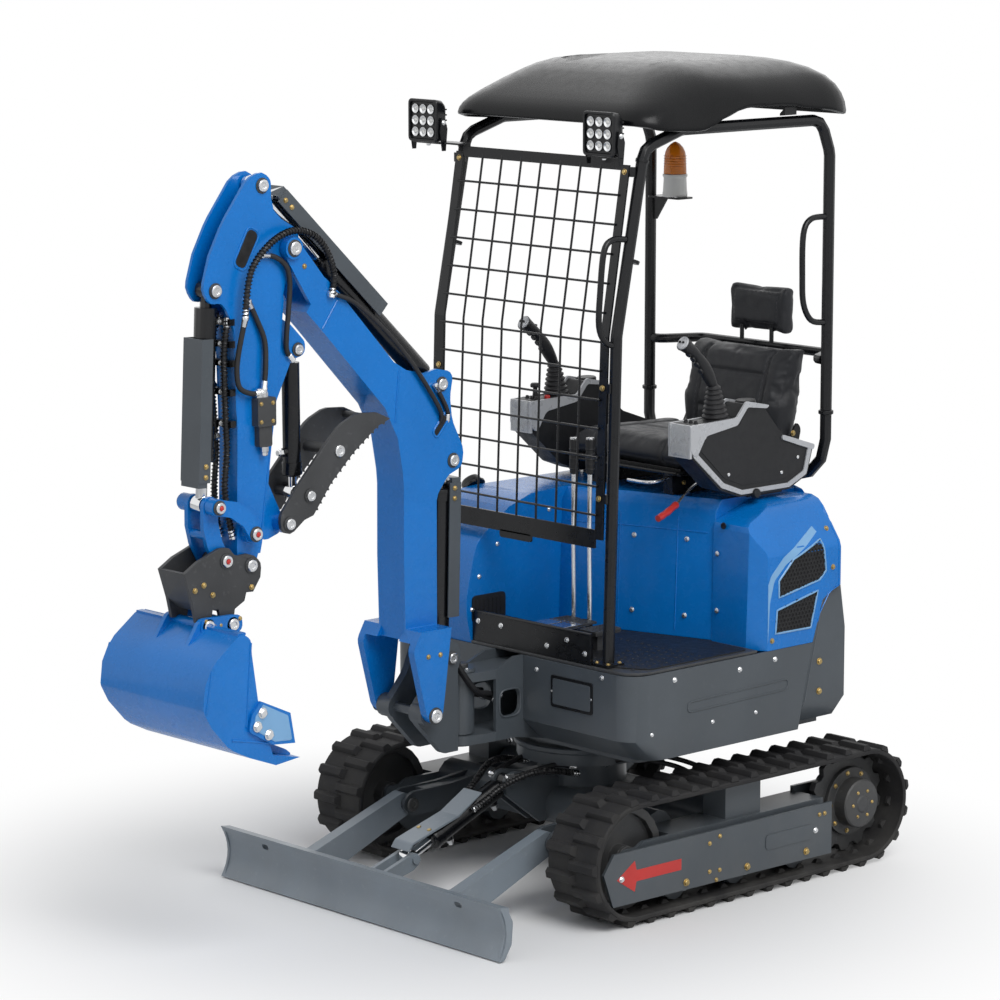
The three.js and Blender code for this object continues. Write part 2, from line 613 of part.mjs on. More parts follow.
// ---------- cylinders ----------
// A cylinder lies in the plane x = 0, from its base pin to its rod's eye. The barrel proper
// starts past the lugs round its base pin, and a narrower neck joins it to its eye.
function cylinder(name, base, eye, size, share, guard) {
  const [a, b] = [new THREE.Vector2(...base), new THREE.Vector2(...eye)];
  const length = a.distanceTo(b);
  const along = b.clone().sub(a).divideScalar(length);
  const at = (distance) => {
    const p = along.clone().multiplyScalar(distance).add(a);
    return [0, p.x, p.y];
  };
  const barrelEnd = length * share;
  const eyeX = [-size.eyeHalf, size.eyeHalf];
  const barrel = cut(
    join(
      rod(at(size.eye * 0.6), at(size.neck + 4), size.eyeHalf - 3, 8),
      rod(at(size.neck), at(barrelEnd), size.barrel, 16),
      rod(at(barrelEnd - GLAND_LENGTH), at(barrelEnd + 4), size.barrel + GLAND_RIM, 16),
      pinX(base, size.eye, ...eyeX, 14),
    ),
    rod(at(size.neck + 20), at(barrelEnd + 20), size.rod + RUN_GAP, 12),
    boreX(base, PIN_RADIUS),
  );
  const inner = size.neck + 26 + size.stroke;
  const shaft = join(rod(at(inner), at(length), size.rod, 12), pinX(eye, size.eye, ...eyeX, 14));
  const moving = cut(shaft, boreX(eye, PIN_RADIUS));
  piece(`${name}_barrel`, barrel, BLACK);
  piece(`${name}_rod`, guard ? join(moving, channelGuard(at, length, along, size, guard)) : moving, CHROME);
}

// A folded channel that a rod's end carries over the barrel, between two distances from the eye
// and with a side clearance to the barrel's gland.
function channelGuard(at, length, along, size, { near, far, side }) {
  const frame = (offset, distance) => {
    const [, y, z] = at(length - distance);
    return [y + along.y * offset, z - along.x * offset];
  };
  const strip = (low, high, from, to) => outline([
    frame(low, from), frame(low, to), frame(high, to), frame(high, from),
  ]);
  const inner = size.barrel + GLAND_RIM + side;
  const outer = inner + GUARD_SHEET;
  return join(
    plateX(strip(inner, outer, near, far), -outer, outer),
    ...bothSides(strip(2, outer, near, far), [inner, outer]),
    plateX(strip(size.rod - 4, outer, near - 12, near + 4), -inner - 1, inner + 1),
  );
}

cylinder("blade_cylinder", BLADE_CYL_BASE, BLADE_CYL_EYE, BLADE_CYL, 0.76);
cylinder("boom_cylinder", BOOM_CYL_BASE, BOOM_CYL_EYE, BOOM_CYL, 0.84, BOOM_GUARD);
cylinder("arm_cylinder", ARM_CYL_BASE, ARM_CYL_EYE, ARM_CYL, 0.63, ARM_GUARD);
cylinder("bucket_cylinder", BUCKET_CYL_BASE, LINK_PIN, BUCKET_CYL, 0.785, BUCKET_GUARD);
cylinder("thumb_cylinder", THUMB_CYL_BASE, THUMB_CYL_EYE, THUMB_CYL, 0.86);

// ---------- house ----------
// The plan outline of the body: straight sides and an arc about the slew axis at the tail.
function planOutline(inset, frontSetBack = 0) {
  const side = HOUSE_SIDE - inset;
  const tail = HOUSE_TAIL - inset;
  const front = HOUSE_FRONT + inset + frontSetBack;
  const corner = Math.max(HOUSE_CORNER - inset, 12);
  const start = Math.acos(side / tail);
  const shape = new THREE.Shape();
  shape.moveTo(-side + corner, front);
  shape.lineTo(side - corner, front);
  shape.absarc(side - corner, front + corner, corner, -Math.PI / 2, 0, false);
  shape.absarc(0, 0, tail, start, Math.PI - start, false);
  shape.absarc(-side + corner, front + corner, corner, Math.PI, Math.PI * 1.5, false);
  const points = shape.getPoints(6);
  return points.filter((p, i) => p.distanceTo(points[(i + 1) % points.length]) > 0.01);
}

// Everything behind and below the seam between the body panels and the counterweight.
const behindSeam = (shift) => plateX(outline([
  ...WEIGHT_SEAM.map(([y, z]) => [y + shift, z - shift]),
  [900, COUNTERWEIGHT_TOP - shift], [900, 200], [WEIGHT_SEAM[0][0] + shift, 200],
]), -WIDE, WIDE);

function skirt() {
  const shell = cut(
    loft([
      { z: SKIRT_BOTTOM, points: planOutline(0, SKIRT_SET_BACK) },
      { z: SKIRT_BEND, points: planOutline(0) },
      { z: SKIRT_TOP, points: planOutline(0) },
    ]),
    loft([
      { z: SKIRT_BOTTOM - 1, points: planOutline(WALL, SKIRT_SET_BACK + 1) },
      { z: SKIRT_BEND, points: planOutline(WALL) },
      { z: SKIRT_TOP + 1, points: planOutline(WALL) },
    ]),
    behindSeam(0),
  );
  return shell.intersect(box(NOSE_HALF + SEAT_GAP, WIDE, -WIDE, 500, 0, WIDE));
}

function counterweight() {
  const block = loft([
    { z: WEIGHT_BOTTOM, points: planOutline(30) },
    { z: SKIRT_BEND + 10, points: planOutline(0) },
    { z: 640, points: planOutline(0) },
    { z: COUNTERWEIGHT_TOP, points: planOutline(14) },
  ]);
  const hollow = slab("z", outline([
    [-HOUSE_SIDE + 60, 0], [HOUSE_SIDE - 60, 0], [HOUSE_SIDE - 60, 480, 40], [250, WEIGHT_INNER_Y, 60],
    [-250, WEIGHT_INNER_Y, 60], [-HOUSE_SIDE + 60, 480, 40],
  ]), 300, 900, 3);
  return cut(block, hollow).intersect(behindSeam(SEAT_GAP));
}

function houseFrame() {
  const deck = slab("z", outline([
    [-400, -195, 30], [400, -195, 30], [400, 325], [380, 325], [380, 500], [-380, 500], [-380, 325],
    [-400, 325],
  ]), 374, DECK_TOP);
  const tail = box(-250, 250, 490, WEIGHT_INNER_Y + 36, 374, DECK_TOP);
  const pads = [-200, 200].map((x) =>
    box(x - 50, x + 50, WEIGHT_INNER_Y + 2, WEIGHT_INNER_Y + 36, 376, WEIGHT_BOTTOM - SEAT_GAP));
  const ring = rod([0, 0, SLEW_RING_TOP + RUN_GAP], [0, 0, 376], SLEW_RING_RADIUS - 24, 24);
  const nose = slab("z", outline([
    [NOSE_HALF, -180], [-NOSE_HALF, -180], [-NOSE_HALF, SWING_Y + 72], [-45, SWING_Y - 45, 44],
    [45, SWING_Y - 45, 44], [NOSE_HALF, SWING_Y + 72],
  ]), LUG_LOWER[0], LUG_UPPER[1], 4);
  const throat = box(-WIDE, WIDE, -WIDE, SWING_Y + 74, LUG_LOWER[1], LUG_UPPER[0]);
  const inside = box(-NOSE_HALF + 10, NOSE_HALF - 10, SWING_Y + 60, 0, LUG_LOWER[1], LUG_UPPER[0]);
  const cheek = outline([
    [-366, LUG_LOWER[0]], [-366, LUG_UPPER[1]], [-300, SKIRT_TOP], [165, SKIRT_TOP], [165, 380],
    [-180, 380], [-300, LUG_LOWER[0]],
  ]);
  const hoseHole = plateX(outline([
    [-352, 462, 24], [-282, 462, 24], [-282, 530, 24], [-352, 530, 24],
  ]), -WIDE, WIDE, 4);
  const pivot = rod([0, SWING_Y, 300], [0, SWING_Y, 700],
    (SWING_PIN_RADIUS + PIN_GAP) / Math.cos(Math.PI / SWING_PIN_SIDES), SWING_PIN_SIDES);
  const crossRib = box(-395, 395, 160, 170, 380, SKIRT_TOP);
  const cheeks = bothSides(cheek, [NOSE_HALF - 10, NOSE_HALF]);
  return cut(join(deck, tail, ...pads, ring, cut(nose, throat, inside), ...cheeks, crossRib), hoseHole, pivot);
}

// The front edge of the seat's base, [x, y] from the right hood to the left one.
const SEAT_BASE_FRONT = [
  [HOOD_INNER_X + SEAT_GAP, 50], [-80, 60], [13, 107], [LEFT_HOOD_X - SEAT_GAP, 190],
];

function floorPlate() {
  return slab("z", outline([
    [HOOD_INNER_X + SEAT_GAP, HOUSE_FRONT + 3], [HOUSE_SIDE - 4, HOUSE_FRONT + 3, HOUSE_CORNER],
    [HOUSE_SIDE - 4, LEFT_HOOD_Y - SEAT_GAP], [LEFT_HOOD_X - SEAT_GAP, LEFT_HOOD_Y - SEAT_GAP],
    ...SEAT_BASE_FRONT.map(([x, y]) => [x, y + 10]).reverse(),
  ]), SKIRT_TOP + SEAT_GAP, FLOOR_TOP, 4);
}

// The panels below and behind the driver: open below and behind.
function seatBase() {
  const plan = (back) => [
    ...SEAT_BASE_FRONT.map(([x, y]) => [x, y + back]), [LEFT_HOOD_X - SEAT_GAP, BONNET_SEAM_Y],
    [HOOD_INNER_X + SEAT_GAP, BONNET_SEAM_Y],
  ].map(([x, y]) => new THREE.Vector2(x, y));
  const body = loft([
    { z: FLOOR_TOP + SEAT_GAP, points: plan(0) },
    { z: HOOD_TOP - 30, points: plan(12) },
    { z: HOOD_TOP, points: plan(34) },
  ]);
  const hollow = slab("z", outline([
    [HOOD_INNER_X + 12, 100], [-80, 110], [LEFT_HOOD_X - 12, 225], [LEFT_HOOD_X - 12, 700],
    [HOOD_INNER_X + 12, 700],
  ]), 300, HOOD_TOP - 14);
  return cut(body, hollow);
}

// Where the front posts stand at a height below their bend.
const frontPostY = (z) =>
  THREE.MathUtils.mapLinear(z, FLOOR_TOP, FRONT_BEND[1], CANOPY_FRONT_Y, FRONT_BEND[0]);

function rightHood() {
  const body = plateX(outline([
    [HOUSE_FRONT + 4, SKIRT_TOP + SEAT_GAP], [-288, 712, 120], [-250, 880, 90], [-95, 985, 160],
    [60, HOOD_TOP], [BONNET_SEAM_Y, HOOD_TOP], [BONNET_SEAM_Y, SKIRT_TOP + SEAT_GAP],
  ]), -HOUSE_SIDE, HOOD_INNER_X, 4);
  const plan = slab("z", outline([
    [-HOUSE_SIDE, -320, 150], [HOOD_INNER_X, -300], [HOOD_INNER_X, 600], [-HOUSE_SIDE, 600],
  ]), 300, 1200, 4);
  const shoulder = slab("y", outline([
    [-HOOD_INNER_X - 5, 500], [HOUSE_SIDE, 500], [HOUSE_SIDE, SHOULDER_Z, 30],
    [HOUSE_SIDE - 80, HOOD_TOP - 12, 60], [CONSOLE_X[1] - 14, HOOD_TOP],
    [-HOOD_INNER_X - 5, HOOD_TOP],
  ]), -400, 600, 3);
  const hollow = plateX(outline([
    [-220, 500], [-238, 712, 60], [-205, 850, 60], [-80, 930, 80], [60, 940], [700, 940], [700, 500],
  ]), -HOUSE_SIDE + 34, HOOD_INNER_X - 8, 3);
  const [postX, postY] = [-CANOPY_HALF, frontPostY(RIGHT_POST_Z)];
  const postPad = rod([postX, postY, 800], [postX, postY, RIGHT_POST_Z], 32, 16);
  const reach = POST_FOOT_HALF + 2;
  const landing = box(postX - reach, postX + reach, postY - reach, postY + reach,
    RIGHT_POST_Z, RIGHT_POST_Z + 60);
  const solid = join(body.intersect(plan).intersect(shoulder), postPad);
  return cut(solid, hollow, landing, behindSeam(0));
}

function leftHood() {
  const body = plateX(outline([
    [LEFT_HOOD_Y, SKIRT_TOP + SEAT_GAP], [LEFT_HOOD_Y + 4, 940, 25], [330, HOOD_TOP - 8, 60],
    [BONNET_SEAM_Y, HOOD_TOP - 8], [BONNET_SEAM_Y, SKIRT_TOP + SEAT_GAP],
  ]), LEFT_HOOD_X, HOUSE_SIDE, 3);
  const shoulder = slab("y", outline([
    [-LEFT_HOOD_X, 500], [-LEFT_HOOD_X, HOOD_TOP], [-HOUSE_SIDE + 80, HOOD_TOP - 12, 60],
    [-HOUSE_SIDE, SHOULDER_Z, 30], [-HOUSE_SIDE, 500],
  ]), 0, 600, 3);
  const plan = slab("z", outline([
    [LEFT_HOOD_X, LEFT_HOOD_Y], [HOUSE_SIDE - 46, LEFT_HOOD_Y], [HOUSE_SIDE, LEFT_HOOD_Y + 34],
    [HOUSE_SIDE, 600], [LEFT_HOOD_X, 600],
  ]), 300, 1200);
  const hollow = plateX(outline([
    [LEFT_HOOD_Y + 14, 500], [LEFT_HOOD_Y + 18, 860, 20], [330, 930, 50], [700, 930], [700, 500],
  ]), LEFT_HOOD_X + 8, HOUSE_SIDE - 38);
  return cut(body.intersect(plan).intersect(shoulder), hollow, behindSeam(0));
}

function rearBonnet() {
  const levels = [[-16, 14], [95, 20], [140, 40], [185, 74], [HOOD_TOP - COUNTERWEIGHT_TOP, 100]];
  const outer = loft(levels.map(([rise, inset]) =>
    ({ z: COUNTERWEIGHT_TOP + rise, points: planOutline(inset) })));
  const hollow = loft([
    { z: COUNTERWEIGHT_TOP - 20, points: planOutline(34) },
    { z: 900, points: planOutline(48) },
    { z: HOOD_TOP - 14, points: planOutline(112) },
  ]);
  return cut(outer, hollow, behindSeam(0),
    box(-WIDE, WIDE, -WIDE, BONNET_SEAM_Y + SEAT_GAP, 0, WIDE));
}

piece("house_frame", houseFrame(), GREY);
piece("skirt_left", skirt(), GREY);
piece("skirt_right", mirrorX(skirt()), GREY);
piece("counterweight", counterweight(), GREY);
piece("floor_plate", floorPlate(), DARK);
piece("seat_base", seatBase(), BLUE);
piece("right_hood", rightHood(), BLUE);
piece("left_hood", leftHood(), BLUE);
piece("rear_bonnet", rearBonnet(), BLUE);
piece("engine_block", box(-110, 180, 215, 475, SKIRT_BOTTOM, 720), SILVER);

// ---------- swing post, boom and arm ----------
function swingPost() {
  const [footY, footZ] = FOOT;
  const plate = outline([
    [-497, 398], [-497, 610], [-486, 640, 20], [-495, 682, 30], [-545, 690, 30],
    [-582, 600, 60], [-630, 545, 20], [footY - 33, footZ, 26], [-628, 482, 24], [-548, 398, 20],
  ]);
  const plates = bothSides(plate, POST_PLATE_X);
  const bosses = bothPins(FOOT, 30, [POST_PLATE_X[0], FOOT_LEG_X[0] - RUN_GAP], 16);
  const web = box(-POST_PLATE_X[0] - 1, POST_PLATE_X[0] + 1, -540, -497, 431, 560);
  const neck = box(-30, 30, -500, SWING_Y, 431, 560);
  const hub = rod([0, SWING_Y, LUG_LOWER[1] + 2], [0, SWING_Y, LUG_UPPER[0] - 2], SWING_HUB_RADIUS, 20);
  const pin = rod([0, SWING_Y, LUG_LOWER[0] - 8], [0, SWING_Y, LUG_UPPER[1] + 12],
    SWING_PIN_RADIUS, SWING_PIN_SIDES);
  const cylinderPin = pinX(BOOM_CYL_BASE, PIN_RADIUS, -POST_PLATE_X[1] - 4, POST_PLATE_X[1] + 4);
  const footPin = pinX(FOOT, PIN_RADIUS, -FOOT_LEG_X[1] - 3, FOOT_LEG_X[1] + 3);
  return join(...plates, ...bosses, web, neck, hub, pin, cylinderPin, footPin);
}

// A pin's end in an ear, clear of the lane in which the rod's eye turns.
const eyeStubs = (at, size, outer) => bothPins(at, PIN_RADIUS, [size.eyeHalf + 2, outer]);

function boom() {
  const outer = outline([
    [-980, 1560], [-930, 1510], [-697, 1268, 160], [-669, 1115, 200], [-670, 912], [-664, 690],
    [-600, 690], [-560, 735], [-560, 1060, 40], [-549, 1076, 60], [-520, 1111, 20],
    [-474, 1128, 24], [-468, 1172, 30], [-507, 1250, 60], [-514, 1310, 60], [-502, 1372, 22],
    [-560, 1384, 20], [-600, 1376], [-684, 1396, 80], [-873, 1598], [-920, 1640],
  ]);
  const inner = outline([
    [-972, 1552], [-925, 1520], [-705, 1290, 150], [-660, 1115, 180], [-661, 912], [-655, 600],
    [-569, 600], [-569, 1100, 60], [-600, 1240, 60], [-640, 1330, 60], [-700, 1398, 60],
    [-873, 1588], [-910, 1620],
  ]);
  const wallX = BOOM_HALF - BOOM_PLATE;
  const shell = cut(
    plateX(outer, -BOOM_HALF, BOOM_HALF),
    plateX(inner, -wallX, wallX, 1),
    plateX(outline([
      [-548, 1070], [-440, 1100], [-440, 1400], [-640, 1440], [-660, 1395], [-600, 1345], [-585, 1300],
    ]), -wallX, wallX),
  );
  const tip = bothSides(strapOutline(BOOM_TIP, 27, [-925, 1585], 38), [BOOM_HALF - 12, BOOM_HALF], 4);
  const leg = outline([
    [-664, 735], [-562, 735], [-585, 560, 30], [-592, 515, 25], [-617, 487, 25], [-645, 515, 25],
    [-690, 690, 30],
  ]);
  const legs = bothSides(leg, [wallX, FOOT_LEG_X[1]]);
  const between = box(-FOOT_LEG_X[0], FOOT_LEG_X[0], -720, -540, 400, 706);
  const bosses = bothPins(BOOM_TIP, 27, [BOOM_HALF - 12, BOOM_HALF + 11], 16);
  const tipPin = pinX(BOOM_TIP, PIN_RADIUS, -BOOM_HALF - 14, BOOM_HALF + 14);
  const armCylinderPin = pinX(ARM_CYL_BASE, PIN_RADIUS, -BOOM_HALF - 4, BOOM_HALF + 4);
  const footBore = boreX(FOOT, PIN_RADIUS);
  return join(
    cut(join(cut(shell, between), cut(join(...legs), between), ...tip, ...bosses), footBore),
    tipPin, armCylinderPin, ...eyeStubs(BOOM_CYL_EYE, BOOM_CYL, BOOM_HALF + 4),
  );
}

function arm() {
  const wallX = ARM_HALF - ARM_PLATE;
  const cheeks = bothSides(outline([
    [-1100, 1908, 30], [-1073, 1884, 20], [-1074, 1806, 60], [-990, 1760, 30], [-988, 1700, 40],
    [-1040, 1620, 60], [-1037, 1593], [-1060, 1380], [-1112, 1010], [-1118, 985], [-1190, 985],
    [-1184, 1300], [-1190, 1540, 60], [-1226, 1603, 40], [-1262, 1598, 20], [-1286, 1636, 36],
    [-1262, 1715], [-1222, 1790, 150], [-1146, 1890, 40],
  ]), [wallX, ARM_HALF]);
  const shaft = outline([
    [-1190, 985], [-1118, 985], [-1112, 1010], [-1060, 1380], [-1037, 1593], [-1045, 1640, 30],
    [-1000, 1700, 30], [-1060, 1760, 30], [-1140, 1700, 60], [-1192, 1540, 60], [-1184, 1300],
  ]);
  const inner = outline([
    [-1181, 960], [-1127, 960], [-1121, 1010], [-1069, 1380], [-1050, 1593], [-1060, 1650, 20],
    [-1120, 1650, 20], [-1183, 1520, 60], [-1175, 1300],
  ]);
  const shell = cut(
    plateX(shaft, -ARM_HALF + 1, ARM_HALF - 1, 1),
    plateX(inner, -wallX, wallX, 1),
    box(-wallX, wallX, -1150, -1095, 1600, 1800),
  );
  const pivot = pinX(BOOM_TIP, 32, -ARM_HALF, ARM_HALF, 16);
  const end = plateX(strapOutline(ARM_END, 27, [-1154, 1010], 36), -ARM_HALF, ARM_HALF, 4);
  const thumbBracket = bothSides(outline([
    [-1125, 1040], [-1100, 1010, 20], [-1052, 1026, 26], [-1026, 1050, 26], [-1050, 1080, 26],
    [-1085, 1150], [-1062, 1340], [-1010, 1444, 20], [-966, 1455, 22], [-966, 1486, 20],
    [-1010, 1530], [-1060, 1560], [-1075, 1400],
  ]), [THUMB_BRACKET_X, THUMB_BRACKET_X + ARM_PLATE]);
  const across = (at, radius, half, sides) => pinX(at, radius, -half, half, sides);
  return join(
    cut(
      join(...cheeks, shell, pivot, end, ...thumbBracket),
      boreX(BOOM_TIP, PIN_RADIUS),
    ),
    across(ARM_END, 27, HITCH_X[0] - 1, 16),
    across(ARM_END, PIN_RADIUS, HITCH_X[1] + 4),
    across(ROCKER_PIN, 24, ROCKER_X[0] - RUN_GAP, 16),
    across(ROCKER_PIN, PIN_RADIUS, ROCKER_X[1] + 4),
    across(BUCKET_CYL_BASE, PIN_RADIUS, ARM_HALF + 4),
    across(THUMB_PIVOT, 24, THUMB_X[0] - RUN_GAP, 14),
    across(THUMB_PIVOT, PIN_RADIUS, THUMB_X[1] + 4),
    across(THUMB_CYL_BASE, PIN_RADIUS, THUMB_BRACKET_X + ARM_PLATE + 4),
    ...eyeStubs(ARM_CYL_EYE, ARM_CYL, ARM_HALF + 4),
  );
}

piece("swing_post", swingPost(), GREY);
piece("boom", boom(), BLUE);
piece("arm", arm(), BLUE);

// ---------- bucket linkage, hitch, bucket and thumb ----------
// A link between two pins whose sides bow to one side.
function bowOutline(p, q, radius, bow) {
  const [a, b] = [new THREE.Vector2(...p), new THREE.Vector2(...q)];
  const along = b.clone().sub(a).normalize();
  const heading = Math.atan2(along.y, along.x);
  const across = new THREE.Vector2(-along.y, along.x);
  const middle = a.clone().add(b).multiplyScalar(0.5);
  const side = (base, amount) => base.clone().addScaledVector(across, amount).toArray();
  const shape = new THREE.Shape();
  shape.moveTo(...side(a, radius));
  shape.absarc(a.x, a.y, radius, heading + Math.PI / 2, heading + Math.PI * 1.5, false);
  shape.quadraticCurveTo(...side(middle, bow - radius), ...side(b, -radius));
  shape.absarc(b.x, b.y, radius, heading - Math.PI / 2, heading + Math.PI / 2, false);
  shape.quadraticCurveTo(...side(middle, bow + radius), ...side(a, radius));
  return shape;
}

function rockerLink() {
  const plate = plateX(bowOutline(LINK_PIN, ROCKER_PIN, 21, 42), ...ROCKER_X, 3);
  const boss = pinX(LINK_PIN, 21, LINK_X[1] + 2, ROCKER_X[1], 16);
  const pin = pinX(LINK_PIN, PIN_RADIUS - 1, LINK_X[1] + 3, ROCKER_X[1] + 6);
  return cut(join(plate, boss, pin), boreX(ROCKER_PIN, PIN_RADIUS));
}

function bucketLink() {
  const plates = bothSides(bowOutline(HITCH_LINK_PIN, LINK_PIN, 23, 26), LINK_X, 3);
  const bridge = pinX(LINK_BRIDGE, 11, -LINK_X[1], LINK_X[1]);
  const bores = [
    boreX(HITCH_LINK_PIN, PIN_RADIUS),
    boreX(LINK_PIN, PIN_RADIUS),
  ];
  return cut(join(...plates, bridge), bores);
}

function quickHitch() {
  const plates = bothSides(outline([
    [-1257, 1015, 18], [-1226, 1014, 18], [-1212, 990, 30], [-1160, 992, 30], [-1128, 966, 24],
    [-1132, 930], [-1155, 897], [-1176, 898], [-1182, 878], [-1212, 862],
    [-1216, 836], [-1254, 836], [-1262, 868], [-1280, 868], [-1284, 843], [-1330, 843],
    [-1341, 893], [-1364, 966], [-1324, 990],
  ]), HITCH_X);
  const inside = [-HITCH_X[0] - 1, HITCH_X[0] + 1];
  const back = plateX(outline([
    [-1364, 966], [-1341, 893], [-1311, 866], [-1300, 880], [-1330, 905], [-1350, 966],
  ]), ...inside);
  const foot = plateX(outline([
    [-1182, 878], [-1233, 853], [-1225, 868], [-1190, 895], [-1176, 898],
  ]), ...inside);
  const pin = pinX(HITCH_LINK_PIN, PIN_RADIUS, -HITCH_X[1] - 4, HITCH_X[1] + 4);
  const bores = [
    boreX(ARM_END, PIN_RADIUS),
    pinX(BUCKET_PIN_REAR, BUCKET_PIN_RADIUS + SEAT_GAP, -WIDE, WIDE, 16),
    pinX(BUCKET_PIN_FRONT, BUCKET_PIN_RADIUS + SEAT_GAP, -WIDE, WIDE, 16),
  ];
  return cut(join(...plates, back, foot, pin), bores);
}

function bucket() {
  const wallX = BUCKET_HALF - BUCKET_PLATE;
  const side = outline([
    [-1310, 840, 20], [-1284, 820, 16], [-1281, 782], [-1264, 670], [-1229, 555], [-1220, 529],
    [-1136, 511], [-1211, 503], [-1290, 533], [-1351, 563, 60], [-1422, 642, 90], [-1436, 700, 90],
    [-1398, 775, 70],
  ]);
  const hollow = outline([
    [-1311, 822], [-1260, 830], [-1200, 560], [-1212, 541], [-1288, 545], [-1345, 574, 55],
    [-1412, 648, 85], [-1426, 700, 85], [-1390, 768, 65],
  ]);
  const body = cut(
    plateX(side, -BUCKET_HALF, BUCKET_HALF, 4),
    plateX(hollow, -wallX, wallX, 3),
    box(-wallX, wallX, -1302, -1100, 541, 900),
  );
  const ears = bothSides(outline([
    [-1330, 855, 22], [-1207, 852, 24], [-1204, 812, 24], [-1250, 800], [-1290, 806],
    [-1300, 790], [-1400, 730], [-1392, 762],
  ]), BUCKET_EAR_X);
  const lip = box(-BUCKET_HALF + 4, BUCKET_HALF - 4, -1320, -1302, 806, 838);
  const pins = [BUCKET_PIN_REAR, BUCKET_PIN_FRONT].map((at) =>
    pinX(at, BUCKET_PIN_RADIUS, -BUCKET_EAR_X[1] - 4, BUCKET_EAR_X[1] + 4, 16));
  const cutters = bothSides(outline([
    [-1261, 668], [-1172, 627], [-1158, 551], [-1226, 557], [-1300, 600, 12], [-1290, 640, 12],
  ]), [BUCKET_HALF - 1, BUCKET_HALF + 9], 1);
  return join(body, ...ears, lip, ...pins, ...cutters);
}

function thumb() {
  const [pivotY, pivotZ] = THUMB_PIVOT;
  const plates = bothSides(outline([
    [pivotY - 28, pivotZ - 12, 26], [pivotY + 2, pivotZ - 30, 26], [-1004, 1056], [-976, 1064],
    [-917, 1139], [-846, 1205], [-768, 1262], [-726, 1277], [-771, 1297], [-835, 1301, 40],
    [-890, 1277, 60], [-942, 1228], [-1012, 1154], [pivotY - 26, pivotZ + 26, 20],
  ]), THUMB_X);
  const tube = pinX(THUMB_TUBE, 14, -THUMB_X[1], THUMB_X[1], 16);
  const bore = boreX(THUMB_PIVOT, PIN_RADIUS);
  return cut(join(...plates, tube, ...eyeStubs(THUMB_CYL_EYE, THUMB_CYL, THUMB_X[1] + 4)), bore);
}

piece("rocker_link_left", rockerLink(), BLUE);
piece("rocker_link_right", mirrorX(rockerLink()), BLUE);
piece("bucket_link", bucketLink(), BLUE);
piece("quick_hitch", quickHitch(), DARK);
piece("bucket", bucket(), BLUE);
piece("thumb", thumb(), DARK);

// ---------- canopy ----------
// A front post, the roof rail and a rear post, bent from one tube, on a square foot.
function canopySide(side, footZ) {
  const x = side * CANOPY_HALF;
  const [y, z] = [frontPostY(footZ), footZ + SEAT_GAP];
  const tube = pipe([
    [x, y, z + 2], [x, ...FRONT_BEND], [x, -112, 1925], [x, 20, ROOF_RAIL_Z], [x, 540, ROOF_RAIL_Z],
    [x, CANOPY_REAR_Y, 1880], [x, CANOPY_REAR_Y, REAR_LOOP_TOP + SEAT_GAP],
  ], TUBE_RADIUS, 45);
  const foot = box(x - POST_FOOT_HALF, x + POST_FOOT_HALF, y - POST_FOOT_HALF, y + POST_FOOT_HALF,
    z, z + POST_FOOT_PLATE);
  return join(tube, foot);
}

// The lower loop that joins the rear posts behind the driver, on two brackets.
function rearLoop() {
  const [x, y] = [CANOPY_HALF, CANOPY_REAR_Y];
  const loop = pipe([
    [-x, y, REAR_LOOP_TOP], [-x, y, REAR_LOOP_Z], [x, y, REAR_LOOP_Z], [x, y, REAR_LOOP_TOP],
  ], TUBE_RADIUS, 110);
  const brackets = [-1, 1].map((side) =>
    box(side * 150 - 22, side * 150 + 22, y - 52, y + 8, HOOD_TOP + SEAT_GAP, REAR_LOOP_Z));
  return join(loop, ...brackets);
}

// The bar behind the seat bows rearward between the rear posts.
function rearBar() {
  const end = CANOPY_HALF - TUBE_RADIUS - SEAT_GAP;
  const [y, z] = [CANOPY_REAR_Y, 1330];
  return pipe([
    [-end, y, z], [-end + 22, y, z], [-end + 80, y + REAR_BAR_BOW, z], [end - 80, y + REAR_BAR_BOW, z],
    [end - 22, y, z], [end, y, z],
  ], 13, 30);
}

// A moulded roof, open below, whose thick rim stands on the canopy's rails.
function canopyRoof() {
  const plan = (inset) => outline([
    [-ROOF_HALF + inset, ROOF_FRONT + inset, 60], [ROOF_HALF - inset, ROOF_FRONT + inset, 60],
    [ROOF_HALF - inset, ROOF_REAR - inset, 60], [-ROOF_HALF + inset, ROOF_REAR - inset, 60],
  ]).getPoints();
  const shell = loft([
    { z: ROOF_RIM, points: plan(4) },
    { z: ROOF_RIM + 10, points: plan(0) },
    { z: ROOF_RIM + 48, points: plan(4) },
    { z: ROOF_TOP - 34, points: plan(46) },
    { z: ROOF_TOP - 8, points: plan(110) },
    { z: ROOF_TOP, points: plan(190) },
  ]);
  const rim = ROOF_HALF - CANOPY_HALF + TUBE_RADIUS + 3;
  const hollow = loft([
    { z: ROOF_RIM - 1, points: plan(rim) },
    { z: ROOF_TOP - 60, points: plan(rim + 10) },
    { z: ROOF_TOP - 16, points: plan(130) },
  ]);
  return cut(shell, hollow);
}

